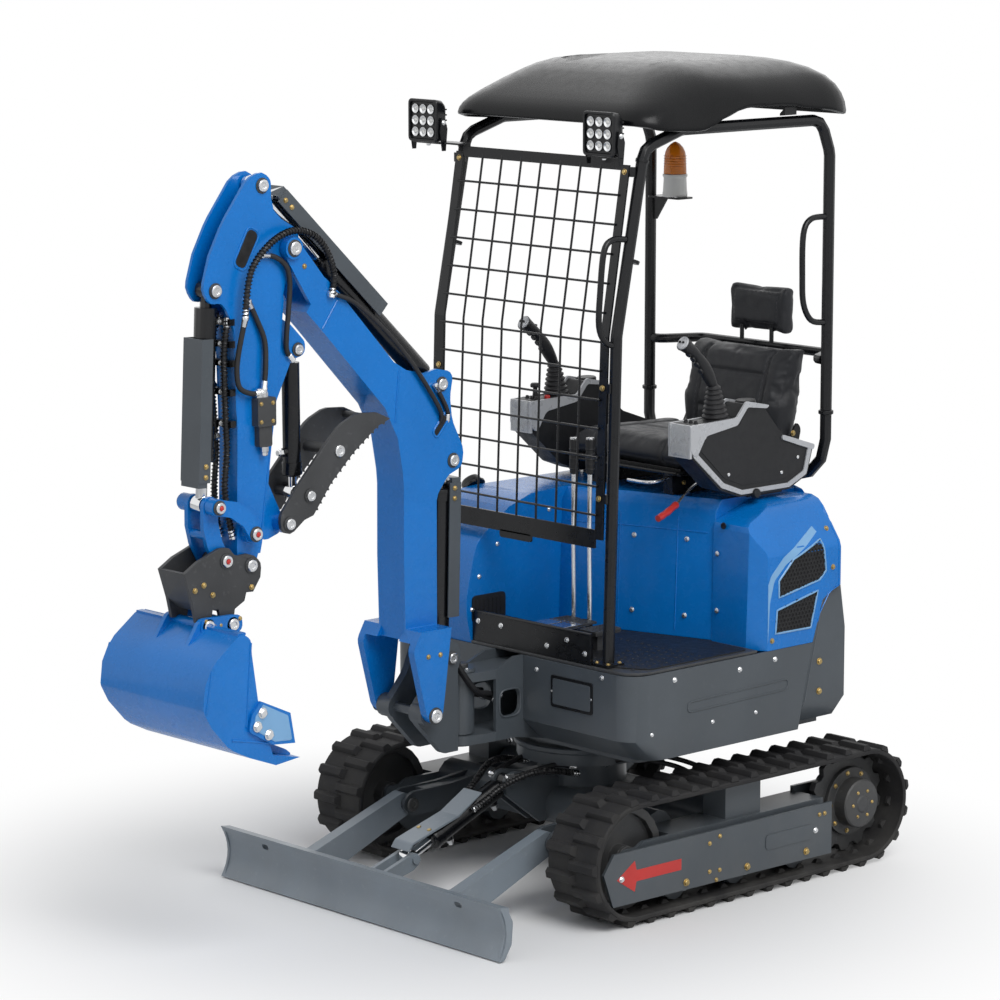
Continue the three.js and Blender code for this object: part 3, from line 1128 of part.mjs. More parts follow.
// Two side bars, a bar at the top and the bottom, and upright wires between them.
function meshGuard() {
  const [innerX, outerX] = [GUARD_HALF - GUARD_BAR, GUARD_HALF];
  const bar = (p, q, half) => outline([
    [p[0] - half, p[1]], [q[0] - half, q[1]], [q[0] + half, q[1]], [p[0] + half, p[1]],
  ]);
  const spans = [[GUARD_BOTTOM, GUARD_KNEE], [GUARD_KNEE, GUARD_TOP]];
  const pitch = (2 * innerX) / GUARD_WIRES;
  const solids = spans.flatMap(([p, q]) => [
    ...bothSides(bar(p, q, 3), [innerX, outerX]),
    ...Array.from({ length: GUARD_WIRES - 1 }, (_, i) => {
      const x = -innerX + (i + 1) * pitch;
      return plateX(bar(p, q, 2.5), x - 2.5, x + 2.5);
    }),
  ]);
  const rails = [GUARD_BOTTOM, GUARD_TOP].map(([y, z]) =>
    box(-innerX - 1, innerX + 1, y - 3, y + 3, z - GUARD_BAR / 2, z + GUARD_BAR / 2));
  const tab = GUARD_TOP[1] - 17;
  const tabEnd = GUARD_POST_Y - TUBE_RADIUS * 1.05; // against the front posts
  const tabs = [-1, 1].map((side) => {
    const x = side * (CANOPY_HALF - 14);
    return box(x - 16, x + 16, GUARD_TOP[0] - 3, tabEnd, tab - 6, tab + 6);
  });
  return join(...solids, ...rails, ...tabs);
}

// A square lamp on an arm that stands on the guard's top bar.
function workLight(x, footX) {
  const [y, z] = [GUARD_TOP[0], GUARD_TOP[1] + GUARD_BAR / 2 + SEAT_GAP];
  const lamp = box(x - LAMP_HALF, x + LAMP_HALF, y - 60, y - 14, LAMP_Z - LAMP_HALF, LAMP_Z + LAMP_HALF);
  const front = box(x - LAMP_HALF + 7, x + LAMP_HALF - 7, y - 61, y - 54, LAMP_Z - LAMP_HALF + 7,
    LAMP_Z + LAMP_HALF - 7);
  const [low, high] = [Math.min(x, footX) - 10, Math.max(x, footX) + 10];
  const armPlate = box(low, high, y - 40, y + 3, z + 4, z + 9);
  const foot = box(footX - 10, footX + 10, y - 3, y + 3, z, z + 5);
  const stalk = box(x - 9, x + 9, y - 40, y - 34, z + 8, LAMP_Z - LAMP_HALF + 4);
  return join(cut(lamp, front), armPlate, foot, stalk);
}

function beacon() {
  const [x, y] = [-237, CANOPY_REAR_Y];
  const edge = -CANOPY_HALF + TUBE_RADIUS + SEAT_GAP;
  return join(
    rod([x, y, 1725], [x, y, 1788], 34, 16),
    rod([x, y, 1788], [x, y, 1846], 31, 16),
    sphere([x, y, 1846], 31, 12),
    box(edge, x + 42, y - 30, y + 30, 1721, 1726),
    slab("y", outline([[-edge, 1660], [-edge, 1724], [-x - 30, 1724]]), y - 3, y + 3),
  ).subtract(rod([-CANOPY_HALF, y, 1600], [-CANOPY_HALF, y, 1800], TUBE_RADIUS + SEAT_GAP));
}

piece("canopy_left", canopySide(1, FLOOR_TOP), BLACK);
piece("canopy_right", canopySide(-1, RIGHT_POST_Z), BLACK);
piece("canopy_rear_loop", rearLoop(), BLACK);
piece("canopy_rear_bar", rearBar(), BLACK);
piece("canopy_roof", canopyRoof(), BLACK);
piece("mesh_guard", meshGuard(), BLACK);
piece("work_light_left", workLight(268, 268), BLACK);
piece("work_light_right", workLight(-391, -GUARD_HALF + 40), BLACK);
piece("beacon", beacon(), AMBER);

// ---------- operator's station ----------
const PAN_TOP = 1066;

function seatMount() {
  const rails = [-1, 1].map((side) =>
    box(side * 135 - 18, side * 135 + 18, 180, 490, HOOD_TOP + SEAT_GAP, PAN_TOP - 19));
  return join(box(-190, 190, 170, 610, PAN_TOP - 20, PAN_TOP), ...rails);
}

function headrest() {
  const pad = plateX(outline([
    [648, 1366, 14], [652, 1507, 22], [706, 1500, 22], [698, 1364, 16],
  ]), -109, 109, 3);
  const posts = [-55, 55].map((x) => rod([x, 655, SEAT_BACK_TOP + SEAT_GAP], [x, 655, 1400], 6, 8));
  return join(pad, ...posts);
}

piece("seat_mount", seatMount(), BLACK);
piece("seat_cushion", plateX(outline([
  [140, PAN_TOP + SEAT_GAP, 20], [134, 1120, 26], [200, 1134, 60], [420, 1126, 80], [536, 1122, 12],
  [536, PAN_TOP + SEAT_GAP],
]), -212, 212, 3), SOFT);
piece("seat_back", plateX(outline([
  [541, PAN_TOP + SEAT_GAP], [546, 1190, 90], [592, 1338, 30], [625, SEAT_BACK_TOP],
  [666, SEAT_BACK_TOP, 6], [650, 1200, 90], [608, PAN_TOP + SEAT_GAP],
]), -193, 193, 3), SOFT);
piece("headrest", headrest(), SOFT);

// An arm console on its bracket; the joystick stands on its flat front.
function armConsole(side) {
  const shape = outline([
    [58, JOYSTICK_Z, 10], [64, 1122, 24], [170, 1028, 16], [244, 1002, 10], [430, 1002, 14],
    [500, 1032, 10], [523, 1108, 10], [402, 1150, 20], [331, 1230, 14], [262, 1246, 12],
    [236, JOYSTICK_Z],
  ]);
  const body = plateX(shape, ...CONSOLE_X);
  const bracket = box(CONSOLE_X[0] + 4, CONSOLE_X[1] - 24, 300, 430, HOOD_TOP + SEAT_GAP, 1003);
  const solid = join(body, bracket);
  return side > 0 ? solid : mirrorX(solid);
}

function joystick(side) {
  const x = side * (CONSOLE_X[0] + CONSOLE_X[1]) / 2;
  return join(
    rod([x, 187, JOYSTICK_Z + SEAT_GAP], [x, 187, JOYSTICK_Z + 8], 35, 12),
    rod([x, 187, JOYSTICK_Z + 6], [x, 178, 1300], 33, 12, 18),
    rod([x, 179, 1290], [x, 118, 1382], 15, 8),
    rod([x, 126, 1372], [x, 62, 1420], 20, 10),
  );
}

[["left", 1], ["right", -1]].forEach(([name, side]) => {
  piece(`console_${name}`, armConsole(side), BLACK);
  piece(`joystick_${name}`, joystick(side), BLACK);
});

// The kick plate along the front of the floor.
piece("front_crossbar", box(HOOD_INNER_X + SEAT_GAP, CANOPY_HALF - POST_FOOT_HALF - SEAT_GAP,
  HOUSE_FRONT + 8, HOUSE_FRONT + 16, FLOOR_TOP + SEAT_GAP, 700), BLACK);

// A travel lever with its treadplate pedal.
function travelLever(x, top) {
  const [y, z] = [TRAVEL_LEVER_Y, FLOOR_TOP + SEAT_GAP];
  return join(
    box(x - 22, x + 22, y - 30, y + 30, z, z + 12),
    rod([x, y, z + 6], [x, y, top], 6, 8),
    rod([x, y, top - 90], [x, y, top], 11, 10),
    box(x - 6, x + 6, y - 100, y, z + 42, z + 50),
    box(x - 26, x + 26, y - 120, y - 50, z + 50, z + 56),
  );
}

const [LEVER_LEFT_X, LEVER_RIGHT_X] = [78, 18];
piece("travel_levers", join(
  travelLever(LEVER_LEFT_X, 1160),
  travelLever(LEVER_RIGHT_X, 1154),
  pinX([TRAVEL_LEVER_Y, FLOOR_TOP + 30], 9, LEVER_RIGHT_X, LEVER_LEFT_X),
), CHROME);
piece("swing_pedal", join(
  box(160, 190, -130, -70, FLOOR_TOP + SEAT_GAP, FLOOR_TOP + 46),
  box(145, 205, -150, -60, FLOOR_TOP + 44, FLOOR_TOP + 52),
), CHROME);

machine.updateMatrixWorld(true);
const bounds = new THREE.Box3().setFromObject(layout);
layout.position.set(
  -(bounds.min.x + bounds.max.x) / 2,
  -(bounds.min.y + bounds.max.y) / 2,
  -bounds.min.z,
);

export default machine;
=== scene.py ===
import json
import math

import bmesh
import bpy
from bpy.props import FloatProperty, FloatVectorProperty, IntProperty, PointerProperty
from bpy.types import Operator, Panel, PropertyGroup
from mathutils import Matrix, Vector
from mathutils.bvhtree import BVHTree


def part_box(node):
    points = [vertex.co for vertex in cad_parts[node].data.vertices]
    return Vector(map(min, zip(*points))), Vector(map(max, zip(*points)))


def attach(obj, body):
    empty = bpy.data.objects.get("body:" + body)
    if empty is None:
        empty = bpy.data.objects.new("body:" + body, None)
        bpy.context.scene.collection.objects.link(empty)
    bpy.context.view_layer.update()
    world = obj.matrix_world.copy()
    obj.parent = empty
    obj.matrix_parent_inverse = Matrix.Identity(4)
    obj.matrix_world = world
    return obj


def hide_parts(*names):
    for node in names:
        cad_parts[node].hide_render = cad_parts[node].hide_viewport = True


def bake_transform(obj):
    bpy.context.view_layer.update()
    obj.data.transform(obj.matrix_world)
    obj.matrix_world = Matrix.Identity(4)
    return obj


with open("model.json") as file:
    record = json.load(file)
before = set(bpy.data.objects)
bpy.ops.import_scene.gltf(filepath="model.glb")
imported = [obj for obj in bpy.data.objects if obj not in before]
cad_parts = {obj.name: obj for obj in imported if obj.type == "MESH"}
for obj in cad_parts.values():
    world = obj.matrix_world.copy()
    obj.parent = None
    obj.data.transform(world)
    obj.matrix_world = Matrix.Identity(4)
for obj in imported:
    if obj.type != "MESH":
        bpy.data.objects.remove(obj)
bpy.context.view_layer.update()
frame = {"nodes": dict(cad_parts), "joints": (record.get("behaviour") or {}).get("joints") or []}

bl_info = {
    "name": "Compact Excavator",
    "version": (1, 0, 0),
    "blender": (4, 5, 0),
    "location": "3D View > Sidebar > Excavator",
    "description": "Finishes and detail for a compact tracked excavator with a canopy",
    "category": "Object",
}

SLEW_Y = next(j["pos_m"][1] for j in frame["joints"] if j["name"] == "slew")
MM = 0.001
UP = Vector((0, 0, 1))


# ---------- settings ----------
def colour_setting(name, description, default):
    return FloatVectorProperty(
        name=name, description=description, default=default, subtype="COLOR", size=3, min=0, max=1
    )


def length_setting(name, description, default):
    return FloatProperty(
        name=name, description=description, default=default, subtype="DISTANCE", unit="LENGTH", min=0
    )


class ExcavatorColours(PropertyGroup):
    blue: colour_setting("Blue paint", "Gloss paint of the boom, arm, bucket and hoods",
        (0.0008, 0.165, 0.55))
    # The corner strip colour is a painted highlight: the light on the left hood's rounded front corner and
    # shoulder. The same colour also rims the grilles and makes the bucket's bolt patch.
    pale_blue: colour_setting("Corner strip", "Paler band on the corner of the left hood", (0.19, 0.4, 0.66))
    grey: colour_setting("Grey paint", "Paint of the undercarriage, skirt and weight", (0.066, 0.078, 0.09))
    black: colour_setting("Black paint", "Paint of the canopy, guard and lamps", (0.004, 0.0045, 0.0058))
    steel: colour_setting("Dark steel", "Worn steel of wheels, hitch and thumb", (0.05, 0.052, 0.055))
    rubber: colour_setting("Rubber", "Rubber of the tracks and hoses", (0.008, 0.008, 0.0095))
    vinyl: colour_setting("Seat vinyl", "Covering of the seat", (0.014, 0.015, 0.018))
    brass: colour_setting("Plated bolts", "Yellow zinc plating of bolts and fittings", (0.42, 0.31, 0.13))
    dust: colour_setting("Dust", "Dry dust on the running gear", (0.2, 0.19, 0.17))
    amber: colour_setting("Amber lens", "Lens of the beacon", (0.75, 0.22, 0.01))
    red: colour_setting("Red marks", "Arrow, lever grip and pin centres", (0.5, 0.02, 0.015))


class ExcavatorSizes(PropertyGroup):
    edge: length_setting("Sheet edge", "Rounding of the body's edges", 0.0022)
    link_count: IntProperty(name="Track links", description="Links in each track", default=37, min=8)
    horn: length_setting("Guide horn", "Height of the horns inside each track", 0.009)
    wire: length_setting("Guard wire", "Diameter of the guard's wires", 0.0062)
    wire_pitch: length_setting("Guard cell", "Height of one cell of the guard", 0.073)
    hose: length_setting("Hose", "Diameter of a plain hydraulic hose", 0.013)
    hex_pitch: length_setting("Grille cell", "Distance between the cells of the grilles", 0.0125)
    stitch: length_setting("Stitch", "Length of one stitch on the seat", 0.006)


class ExcavatorStudio(PropertyGroup):
    key: FloatProperty(name="Key lamp", description="Power of the main lamp", default=370, min=0,
        unit="POWER")
    fill: FloatProperty(name="Fill lamp", description="Power of the front lamp", default=48, min=0,
        unit="POWER")
    sky: FloatProperty(name="Sky", description="Strength of the even light", default=0.42, min=0)
    floor: colour_setting("Floor", "Colour of the floor", (0.86, 0.86, 0.86))


# ---------- finishes ----------
MADE = {}


def finish(name, colour, rough, metal=0.0, tone=0.1, tone_scale=5.0, grain=0.0, grain_scale=400.0,
           dust=0.0, dust_colour=(0.2, 0.19, 0.17), dust_top=0.6, coat=0.0, scuff=0.0, sheen=0.0,
           pattern="noise", shine=0.5):
    """A painted, plated or moulded surface with uneven tone, fine grain, scuffs and dust."""
    if name in MADE:
        return MADE[name]
    material = bpy.data.materials.new(name)
    material.use_nodes = True
    material.diffuse_color = (*colour, 1)
    nodes, links = material.node_tree.nodes, material.node_tree.links
    shader = nodes["Principled BSDF"]
    shader.inputs["Metallic"].default_value = metal
    shader.inputs["Specular IOR Level"].default_value = shine
    shader.inputs["Coat Weight"].default_value = coat
    shader.inputs["Coat Roughness"].default_value = 0.12
    shader.inputs["Sheen Weight"].default_value = sheen
    place = nodes.new("ShaderNodeTexCoord").outputs["Object"]

    def noise(scale, detail=5.0, kind="noise"):
        node = nodes.new("ShaderNodeTexNoise" if kind == "noise" else "ShaderNodeTexVoronoi")
        node.inputs["Scale"].default_value = scale
        if kind == "noise":
            node.inputs["Detail"].default_value = detail
        links.new(place, node.inputs["Vector"])
        return node.outputs["Fac"] if kind == "noise" else node.outputs["Distance"]

    def spread(value, low, high, to_low, to_high):
        node = nodes.new("ShaderNodeMapRange")
        for socket, number in zip(("From Min", "From Max", "To Min", "To Max"), (low, high, to_low, to_high)):
            node.inputs[socket].default_value = number
        links.new(value, node.inputs["Value"])
        return node.outputs["Result"]

    def blend(factor, first, second):
        node = nodes.new("ShaderNodeMix")
        node.data_type = "RGBA"
        links.new(factor, node.inputs["Factor"])
        for socket, value in (("A", first), ("B", second)):
            target = next(s for s in node.inputs if s.name == socket and s.type == "RGBA")
            if isinstance(value, bpy.types.NodeSocket):
                links.new(value, target)
            else:
                target.default_value = (*value, 1)
        return next(s for s in node.outputs if s.type == "RGBA")

    def times(first, second):
        node = nodes.new("ShaderNodeMath")
        node.operation = "MULTIPLY"
        links.new(first, node.inputs[0])
        links.new(second, node.inputs[1])
        return node.outputs[0]

    dark = [c * (1 - tone) for c in colour]
    light = [min(1, c * (1 + tone)) for c in colour]
    body = blend(spread(noise(tone_scale), 0.35, 0.65, 0, 1), dark, light)
    uneven = noise(tone_scale * 9, 8)
    roughness = spread(uneven, 0.3, 0.7, max(0.03, rough * 0.8), min(1, rough * 1.2))
    if scuff:
        marks = spread(noise(tone_scale * 14, 10), 0.62, 0.7, 0, scuff)
        body = blend(marks, body, [min(1, c * 1.6 + 0.08) for c in colour])
    if dust:
        split = nodes.new("ShaderNodeSeparateXYZ")
        links.new(place, split.inputs[0])
        low = spread(split.outputs["Z"], 0.0, dust_top, dust, dust * 0.12)
        patchy = spread(noise(11, 9), 0.35, 0.7, 0.15, 1)
        cover = times(low, patchy)
        body = blend(cover, body, dust_colour)
        roughness = spread(cover, 0, 1, rough, 0.95)
    links.new(body, shader.inputs["Base Color"])
    links.new(roughness, shader.inputs["Roughness"])
    if grain:
        bump = nodes.new("ShaderNodeBump")
        bump.inputs["Strength"].default_value = min(1.0, grain)
        bump.inputs["Distance"].default_value = 0.001
        links.new(noise(grain_scale, 4, pattern), bump.inputs["Height"])
        links.new(bump.outputs["Normal"], shader.inputs["Normal"])
    MADE[name] = material
    return material


def glow(name, colour, transmission, rough, alpha_tone=0.05):
    material = finish(name, colour, rough, tone=alpha_tone, grain=0.04, grain_scale=90)
    shader = material.node_tree.nodes["Principled BSDF"]
    shader.inputs["Transmission Weight"].default_value = transmission
    shader.inputs["IOR"].default_value = 1.46
    return material


def finishes():
    """Every finish of the machine, by its plain name."""
    c = bpy.context.scene.excavator_colours
    dust = tuple(c.dust)
    return {
        "blue": finish("blue_gloss", tuple(c.blue), 0.26, tone=0.05, grain=0.03, grain_scale=120, coat=0.12,
            scuff=0.03, shine=0.35),
        # Pale blue finish: a painted highlight on the left hood's corner band, and the pale blue of the
        # grille rims and the bucket's bolt patch.
        "pale": finish("pale_blue_and_highlight", tuple(c.pale_blue), 0.4, tone=0.04, grain=0.04, grain_scale=200,
        coat=0.2),
        "grey": finish("grey_gloss", tuple(c.grey), 0.36, tone=0.08, grain=0.06, grain_scale=180, coat=0.08,
                       dust=0.12, dust_colour=dust, scuff=0.05, shine=0.4),
        # The blade takes the grey paint three times lighter: a painted highlight for the light its front
        # reflects. Its dust is real.
        "blade": finish("blade_grey_painted_highlight", tuple(min(1, v * 3.0) for v in c.grey), 0.32, tone=0.1, grain=0.08,
        grain_scale=140, dust=0.25,
                        dust_colour=dust, dust_top=0.3, scuff=0.12),
        "black": finish("black_gloss", tuple(c.black), 0.3, tone=0.15, grain=0.05, grain_scale=220, coat=0.05,
        scuff=0.02, shine=0.35),
        "cylinder": finish("cylinder_gloss", tuple(c.black), 0.24, tone=0.15, grain=0.04, grain_scale=160,
        coat=0.1, shine=0.4),
        "steel": finish("dark_steel", tuple(c.steel), 0.5, metal=0.35, tone=0.2, grain=0.2, grain_scale=260,
        dust=0.3,
                        dust_colour=dust, scuff=0.18),
        "bright": finish("bright_steel", (0.7, 0.71, 0.72), 0.2, metal=0.92, tone=0.05, grain=0.03,
        grain_scale=420),
        "chrome": finish("chrome_rod", (0.78, 0.79, 0.8), 0.1, metal=1.0, tone=0.03, grain=0.03,
        grain_scale=500),
        "brass": finish("yellow_zinc", tuple(c.brass), 0.34, metal=0.85, tone=0.2, tone_scale=30, grain=0.12,
        grain_scale=500),
        "rubber": finish("track_rubber", tuple(c.rubber), 0.7, tone=0.2, grain=0.3, grain_scale=330,
        dust=0.22,
                         dust_colour=dust, dust_top=0.42, scuff=0.05, shine=0.35),
        "hose": finish("hose_rubber", tuple(c.rubber), 0.55, tone=0.15, grain=0.3, grain_scale=520),
        "plastic": finish("moulded_plastic", (0.009, 0.0095, 0.011), 0.45, tone=0.1, grain=0.3,
        grain_scale=950, pattern="cells", shine=0.35),
        "roof": finish("roof_plastic", (0.0025, 0.0028, 0.0035), 0.26, tone=0.1, grain=0.05, grain_scale=650,
        pattern="cells", shine=0.22),
        "vinyl": finish("seat_vinyl", tuple(c.vinyl), 0.5, tone=0.12, grain=0.4, grain_scale=620,
        pattern="cells", shine=0.35),
        "thread": finish("seat_thread", (0.045, 0.046, 0.05), 0.7, tone=0.2, grain=0.4, grain_scale=1500),
        "trim": finish("silver_trim", (0.47, 0.48, 0.5), 0.3, metal=0.25, tone=0.04, grain=0.08,
        grain_scale=500),
        "white": finish("white_plastic", (0.66, 0.66, 0.64), 0.42, tone=0.05, grain=0.1, grain_scale=500),
        "red": finish("red_plastic", tuple(c.red), 0.38, tone=0.1, grain=0.1, grain_scale=500, coat=0.2),
        "dark": finish("shadow_mesh", (0.004, 0.004, 0.005), 0.8, tone=0.2, grain=0.2, grain_scale=300),
        "alloy": finish("engine_alloy", (0.25, 0.26, 0.27), 0.5, metal=0.5, tone=0.2, grain=0.4,
        grain_scale=200),
        "clear": glow("clear_plastic", (0.93, 0.95, 0.97), 0.85, 0.08),
        "amber": glow("amber_lens", tuple(c.amber), 0.35, 0.18),
        "lens": glow("lamp_glass", (0.85, 0.87, 0.9), 0.5, 0.1),
    }


# ---------- shaping ----------
class Work:
    """Collects closed solids in millimetres from the slew axis, and turns them into one piece."""

    def __init__(self, *materials):
        self.bm = bmesh.new()
        self.materials = list(materials)
        self.slot = 0
        self.place = Matrix.Identity(4)

    def use(self, material):
        if material not in self.materials:
            self.materials.append(material)
        self.slot = self.materials.index(material)
        return self

    def vert(self, point):
        return self.bm.verts.new(self.place @ Vector(point))

    def face(self, corners):
        if len(set(corners)) < 3:
            return
        made = self.bm.faces.new(corners)
        made.material_index = self.slot
        made.smooth = True

    def skin(self, rings, closed_ring=True, caps=True, loop=False):
        """Faces between rings of points that have the same count."""
        rows = [[self.vert(p) for p in ring] for ring in rings]
        n = len(rows[0])
        steps = range(len(rows) if loop else len(rows) - 1)
        for i in steps:
            a, b = rows[i], rows[(i + 1) % len(rows)]
            for k in range(n if closed_ring else n - 1):
                self.face([a[k], a[(k + 1) % n], b[(k + 1) % n], b[k]])
        if caps and not loop:
            self.face(rows[0][::-1])
            self.face(rows[-1])
        return self

    def prism(self, axis, outline, low, high):
        def put(u, v, w):
            return {"x": (w, u, v), "y": (u, w, v), "z": (u, v, w)}[axis]

        return self.skin([[put(u, v, w) for u, v in outline] for w in (low, high)])

    def block(self, x0, x1, y0, y1, z0, z1):
        return self.prism("z", [(x0, y0), (x1, y0), (x1, y1), (x0, y1)], z0, z1)

    def turned(self, start, toward, profile, sides=20, spin=0.0):
        """A lathe shape: profile is (distance along, radius), from start in the direction toward."""
        start, axis = Vector(start), Vector(toward).normalized()
        side = axis.orthogonal().normalized()
        other = axis.cross(side)
        rings = []
        for along, radius in profile:
            radius = max(radius, 0.05)
            ring = []
            for k in range(sides):
                a = spin + 2 * math.pi * k / sides
                ring.append(start + axis * along + (side * math.cos(a) + other * math.sin(a)) * radius)
            rings.append(ring)
        return self.skin(rings)

    def rod(self, start, end, radius, sides=20, edge=0.0):
        length = (Vector(end) - Vector(start)).length
        edge = min(edge, length / 3, radius / 2)
        profile = [(0, radius - edge), (edge, radius), (length - edge, radius), (length, radius - edge)]
        return self.turned(start, Vector(end) - Vector(start),
            profile if edge else [(0, radius), (length, radius)], sides)

    def tube(self, points, radius, sides=12, loop=False):
        """A round tube along a line of points; radius may be a list."""
        points = [Vector(p) for p in points]
        n = len(points)
        rings, side = [], None
        for i, p in enumerate(points):
            before = points[(i - 1) % n] if loop or i else p
            after = points[(i + 1) % n] if loop or i < n - 1 else p
            heading = (after - before).normalized()
            side = heading.orthogonal() if side is None else side - heading * side.dot(heading)
            side.normalize()
            other = heading.cross(side)
            r = radius[i] if isinstance(radius, (list, tuple)) else radius
            rings.append([
                p + (side * math.cos(2 * math.pi * k / sides) + other * math.sin(2 * math.pi * k / sides)) * r
                for k in range(sides)
            ])
        return self.skin(rings, loop=loop)

    def bolt(self, at, toward, size=7.0, washer=True):
        """A hexagon head on a washer, with a chamfered crown."""
        at, toward = Vector(at), Vector(toward).normalized()
        lift = 0.0
        if washer:
            self.turned(at, toward, [(0, size * 1.35), (size * 0.2, size * 1.35), (size * 0.26, size * 1.25)],
                20)
            lift = size * 0.2
        self.turned(at + toward * lift, toward,
            [(0, size * 1.08), (size * 0.55, size * 1.08), (size * 0.7, size * 0.86)], 6)
        return self

    def cap(self, at, toward, radius, height):
        """A pin's end: a chamfered disc with a recess and a centre."""
        r, h = radius, height
        return self.turned(at, toward, [(0, r), (h * 0.7, r), (h, r * 0.88), (h, r * 0.5), (h * 0.7,
            r * 0.42),
                                        (h * 0.7, r * 0.12), (h * 0.8, 0)], 24)

    def piece(self, name, body, edge=1.2, replaces=(), smooth=0, blend=None, angle=35):
        bm = self.bm
        bmesh.ops.remove_doubles(bm, verts=bm.verts, dist=0.001)
        bmesh.ops.recalc_face_normals(bm, faces=bm.faces)
        bm.transform(Matrix.Translation((0, SLEW_Y, 0)) @ Matrix.Scale(MM, 4))
        mesh = bpy.data.meshes.new(name)
        bm.to_mesh(mesh)
        bm.free()
        for material in self.materials:
            mesh.materials.append(material)
        made = bpy.data.objects.new(name, mesh)
        bpy.context.scene.collection.objects.link(made)
        soften(made, edge * MM, angle)
        if smooth:
            made.modifiers.new("Smooth surface", "SUBSURF").levels = smooth
            made.modifiers["Smooth surface"].render_levels = smooth
        if blend:
            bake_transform(made)
        else:
            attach(made, body)
        if replaces:
            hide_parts(*replaces)
        return made


def soften(made, width, angle=35, weld=False):
    """Rounds the sharp edges of a piece and shades it evenly."""
    made.data.polygons.foreach_set("use_smooth", [True] * len(made.data.polygons))
    if weld:
        made.modifiers.new("Weld", "WELD").merge_threshold = 1e-5
    if width:
        bevel = made.modifiers.new("Rounded edges", "BEVEL")
        bevel.width = width
        bevel.segments = 2
        bevel.limit_method = "ANGLE"
        bevel.angle_limit = math.radians(angle)
        bevel.use_clamp_overlap = True
        bevel.harden_normals = False
    split = made.modifiers.new("Sharp edges", "EDGE_SPLIT")
    split.split_angle = math.radians(50)
    split.use_edge_sharp = False
    if width:
        made.modifiers.new("Even shading", "WEIGHTED_NORMAL").keep_sharp = True


def at(x, y, z):
    return Vector((x * MM, y * MM + SLEW_Y, z * MM))


def curve(points, per=6, loop=False):
    """A smooth line through points."""
    p = [Vector(q) for q in points]
    n = len(p)
    out = []
    for i in range(n if loop else n - 1):
        if loop:
            a, b, c, d = p[i - 1], p[i], p[(i + 1) % n], p[(i + 2) % n]
        else:
            a, b, c, d = p[max(i - 1, 0)], p[i], p[i + 1], p[min(i + 2, n - 1)]
        for k in range(per):
            t = k / per
            out.append(0.5 * (2 * b + (c - a) * t + (2 * a - 5 * b + 4 * c - d) * t * t
                              + (3 * b - a - 3 * c + d) * t ** 3))
    if not loop:
        out.append(p[-1])
    return out


def fillet(corners, steps=5):
    """A flat outline whose corners (u, v, radius) are rounded."""
    out = []
    n = len(corners)
    for i in range(n):
        p, c, q = (Vector(corners[k % n][:2]) for k in (i - 1, i, i + 1))
        r = corners[i][2] if len(corners[i]) > 2 else 0
        if not r:
            out.append(tuple(c))
            continue
        a, b = (p - c), (q - c)
        half = a.angle(b) / 2
        cut = min(r / math.tan(half), a.length * 0.49, b.length * 0.49)
        start, end = c + a.normalized() * cut, c + b.normalized() * cut
        for k in range(steps + 1):
            t = k / steps
            out.append(tuple(start * (1 - t) ** 2 + c * 2 * t * (1 - t) + end * t * t))
    return out


def rounded_box(u0, u1, v0, v1, r, steps=4):
    return fillet([(u0, v0, r), (u1, v0, r), (u1, v1, r), (u0, v1, r)], steps)


def helix(points, radius, pitch, per_turn=10):
    """The centre line of a wire wound round a smooth line."""
    points = [Vector(p) for p in points]
    lengths = [0.0]
    for a, b in zip(points, points[1:]):
        lengths.append(lengths[-1] + (b - a).length)
    total, out = lengths[-1], []
    count = max(2, int(total / pitch * per_turn))
    side, i = None, 0
    for k in range(count + 1):
        s = total * k / count
        while i < len(points) - 2 and lengths[i + 1] < s:
            i += 1
        heading = (points[i + 1] - points[i]).normalized()
        p = points[i] + heading * (s - lengths[i])
        side = heading.orthogonal() if side is None else side - heading * side.dot(heading)
        side.normalize()
        a = 2 * math.pi * s / pitch
        out.append(p + (side * math.cos(a) + heading.cross(side) * math.sin(a)) * radius)
    return out


SURFACES = {}


def surface(node):
    if node not in SURFACES:
        mesh = frame["nodes"][node].data
        flip = [Vector((v.co.x, v.co.y - SLEW_Y, v.co.z)) / MM for v in mesh.vertices]
        SURFACES[node] = BVHTree.FromPolygons(flip, [tuple(p.vertices) for p in mesh.polygons])
    return SURFACES[node]


def land(node, direction, point):
    """Where a line in a direction through a point first meets a node, and the way out of it."""
    direction = Vector(direction).normalized()
    start = Vector(point) - direction * 1500
    hit, normal, _, _ = surface(node).ray_cast(start, direction)
    if hit is None:
        hit, normal, _, _ = surface(node).find_nearest(Vector(point))
    if normal.dot(direction) > 0:
        normal = -normal
    return hit, normal


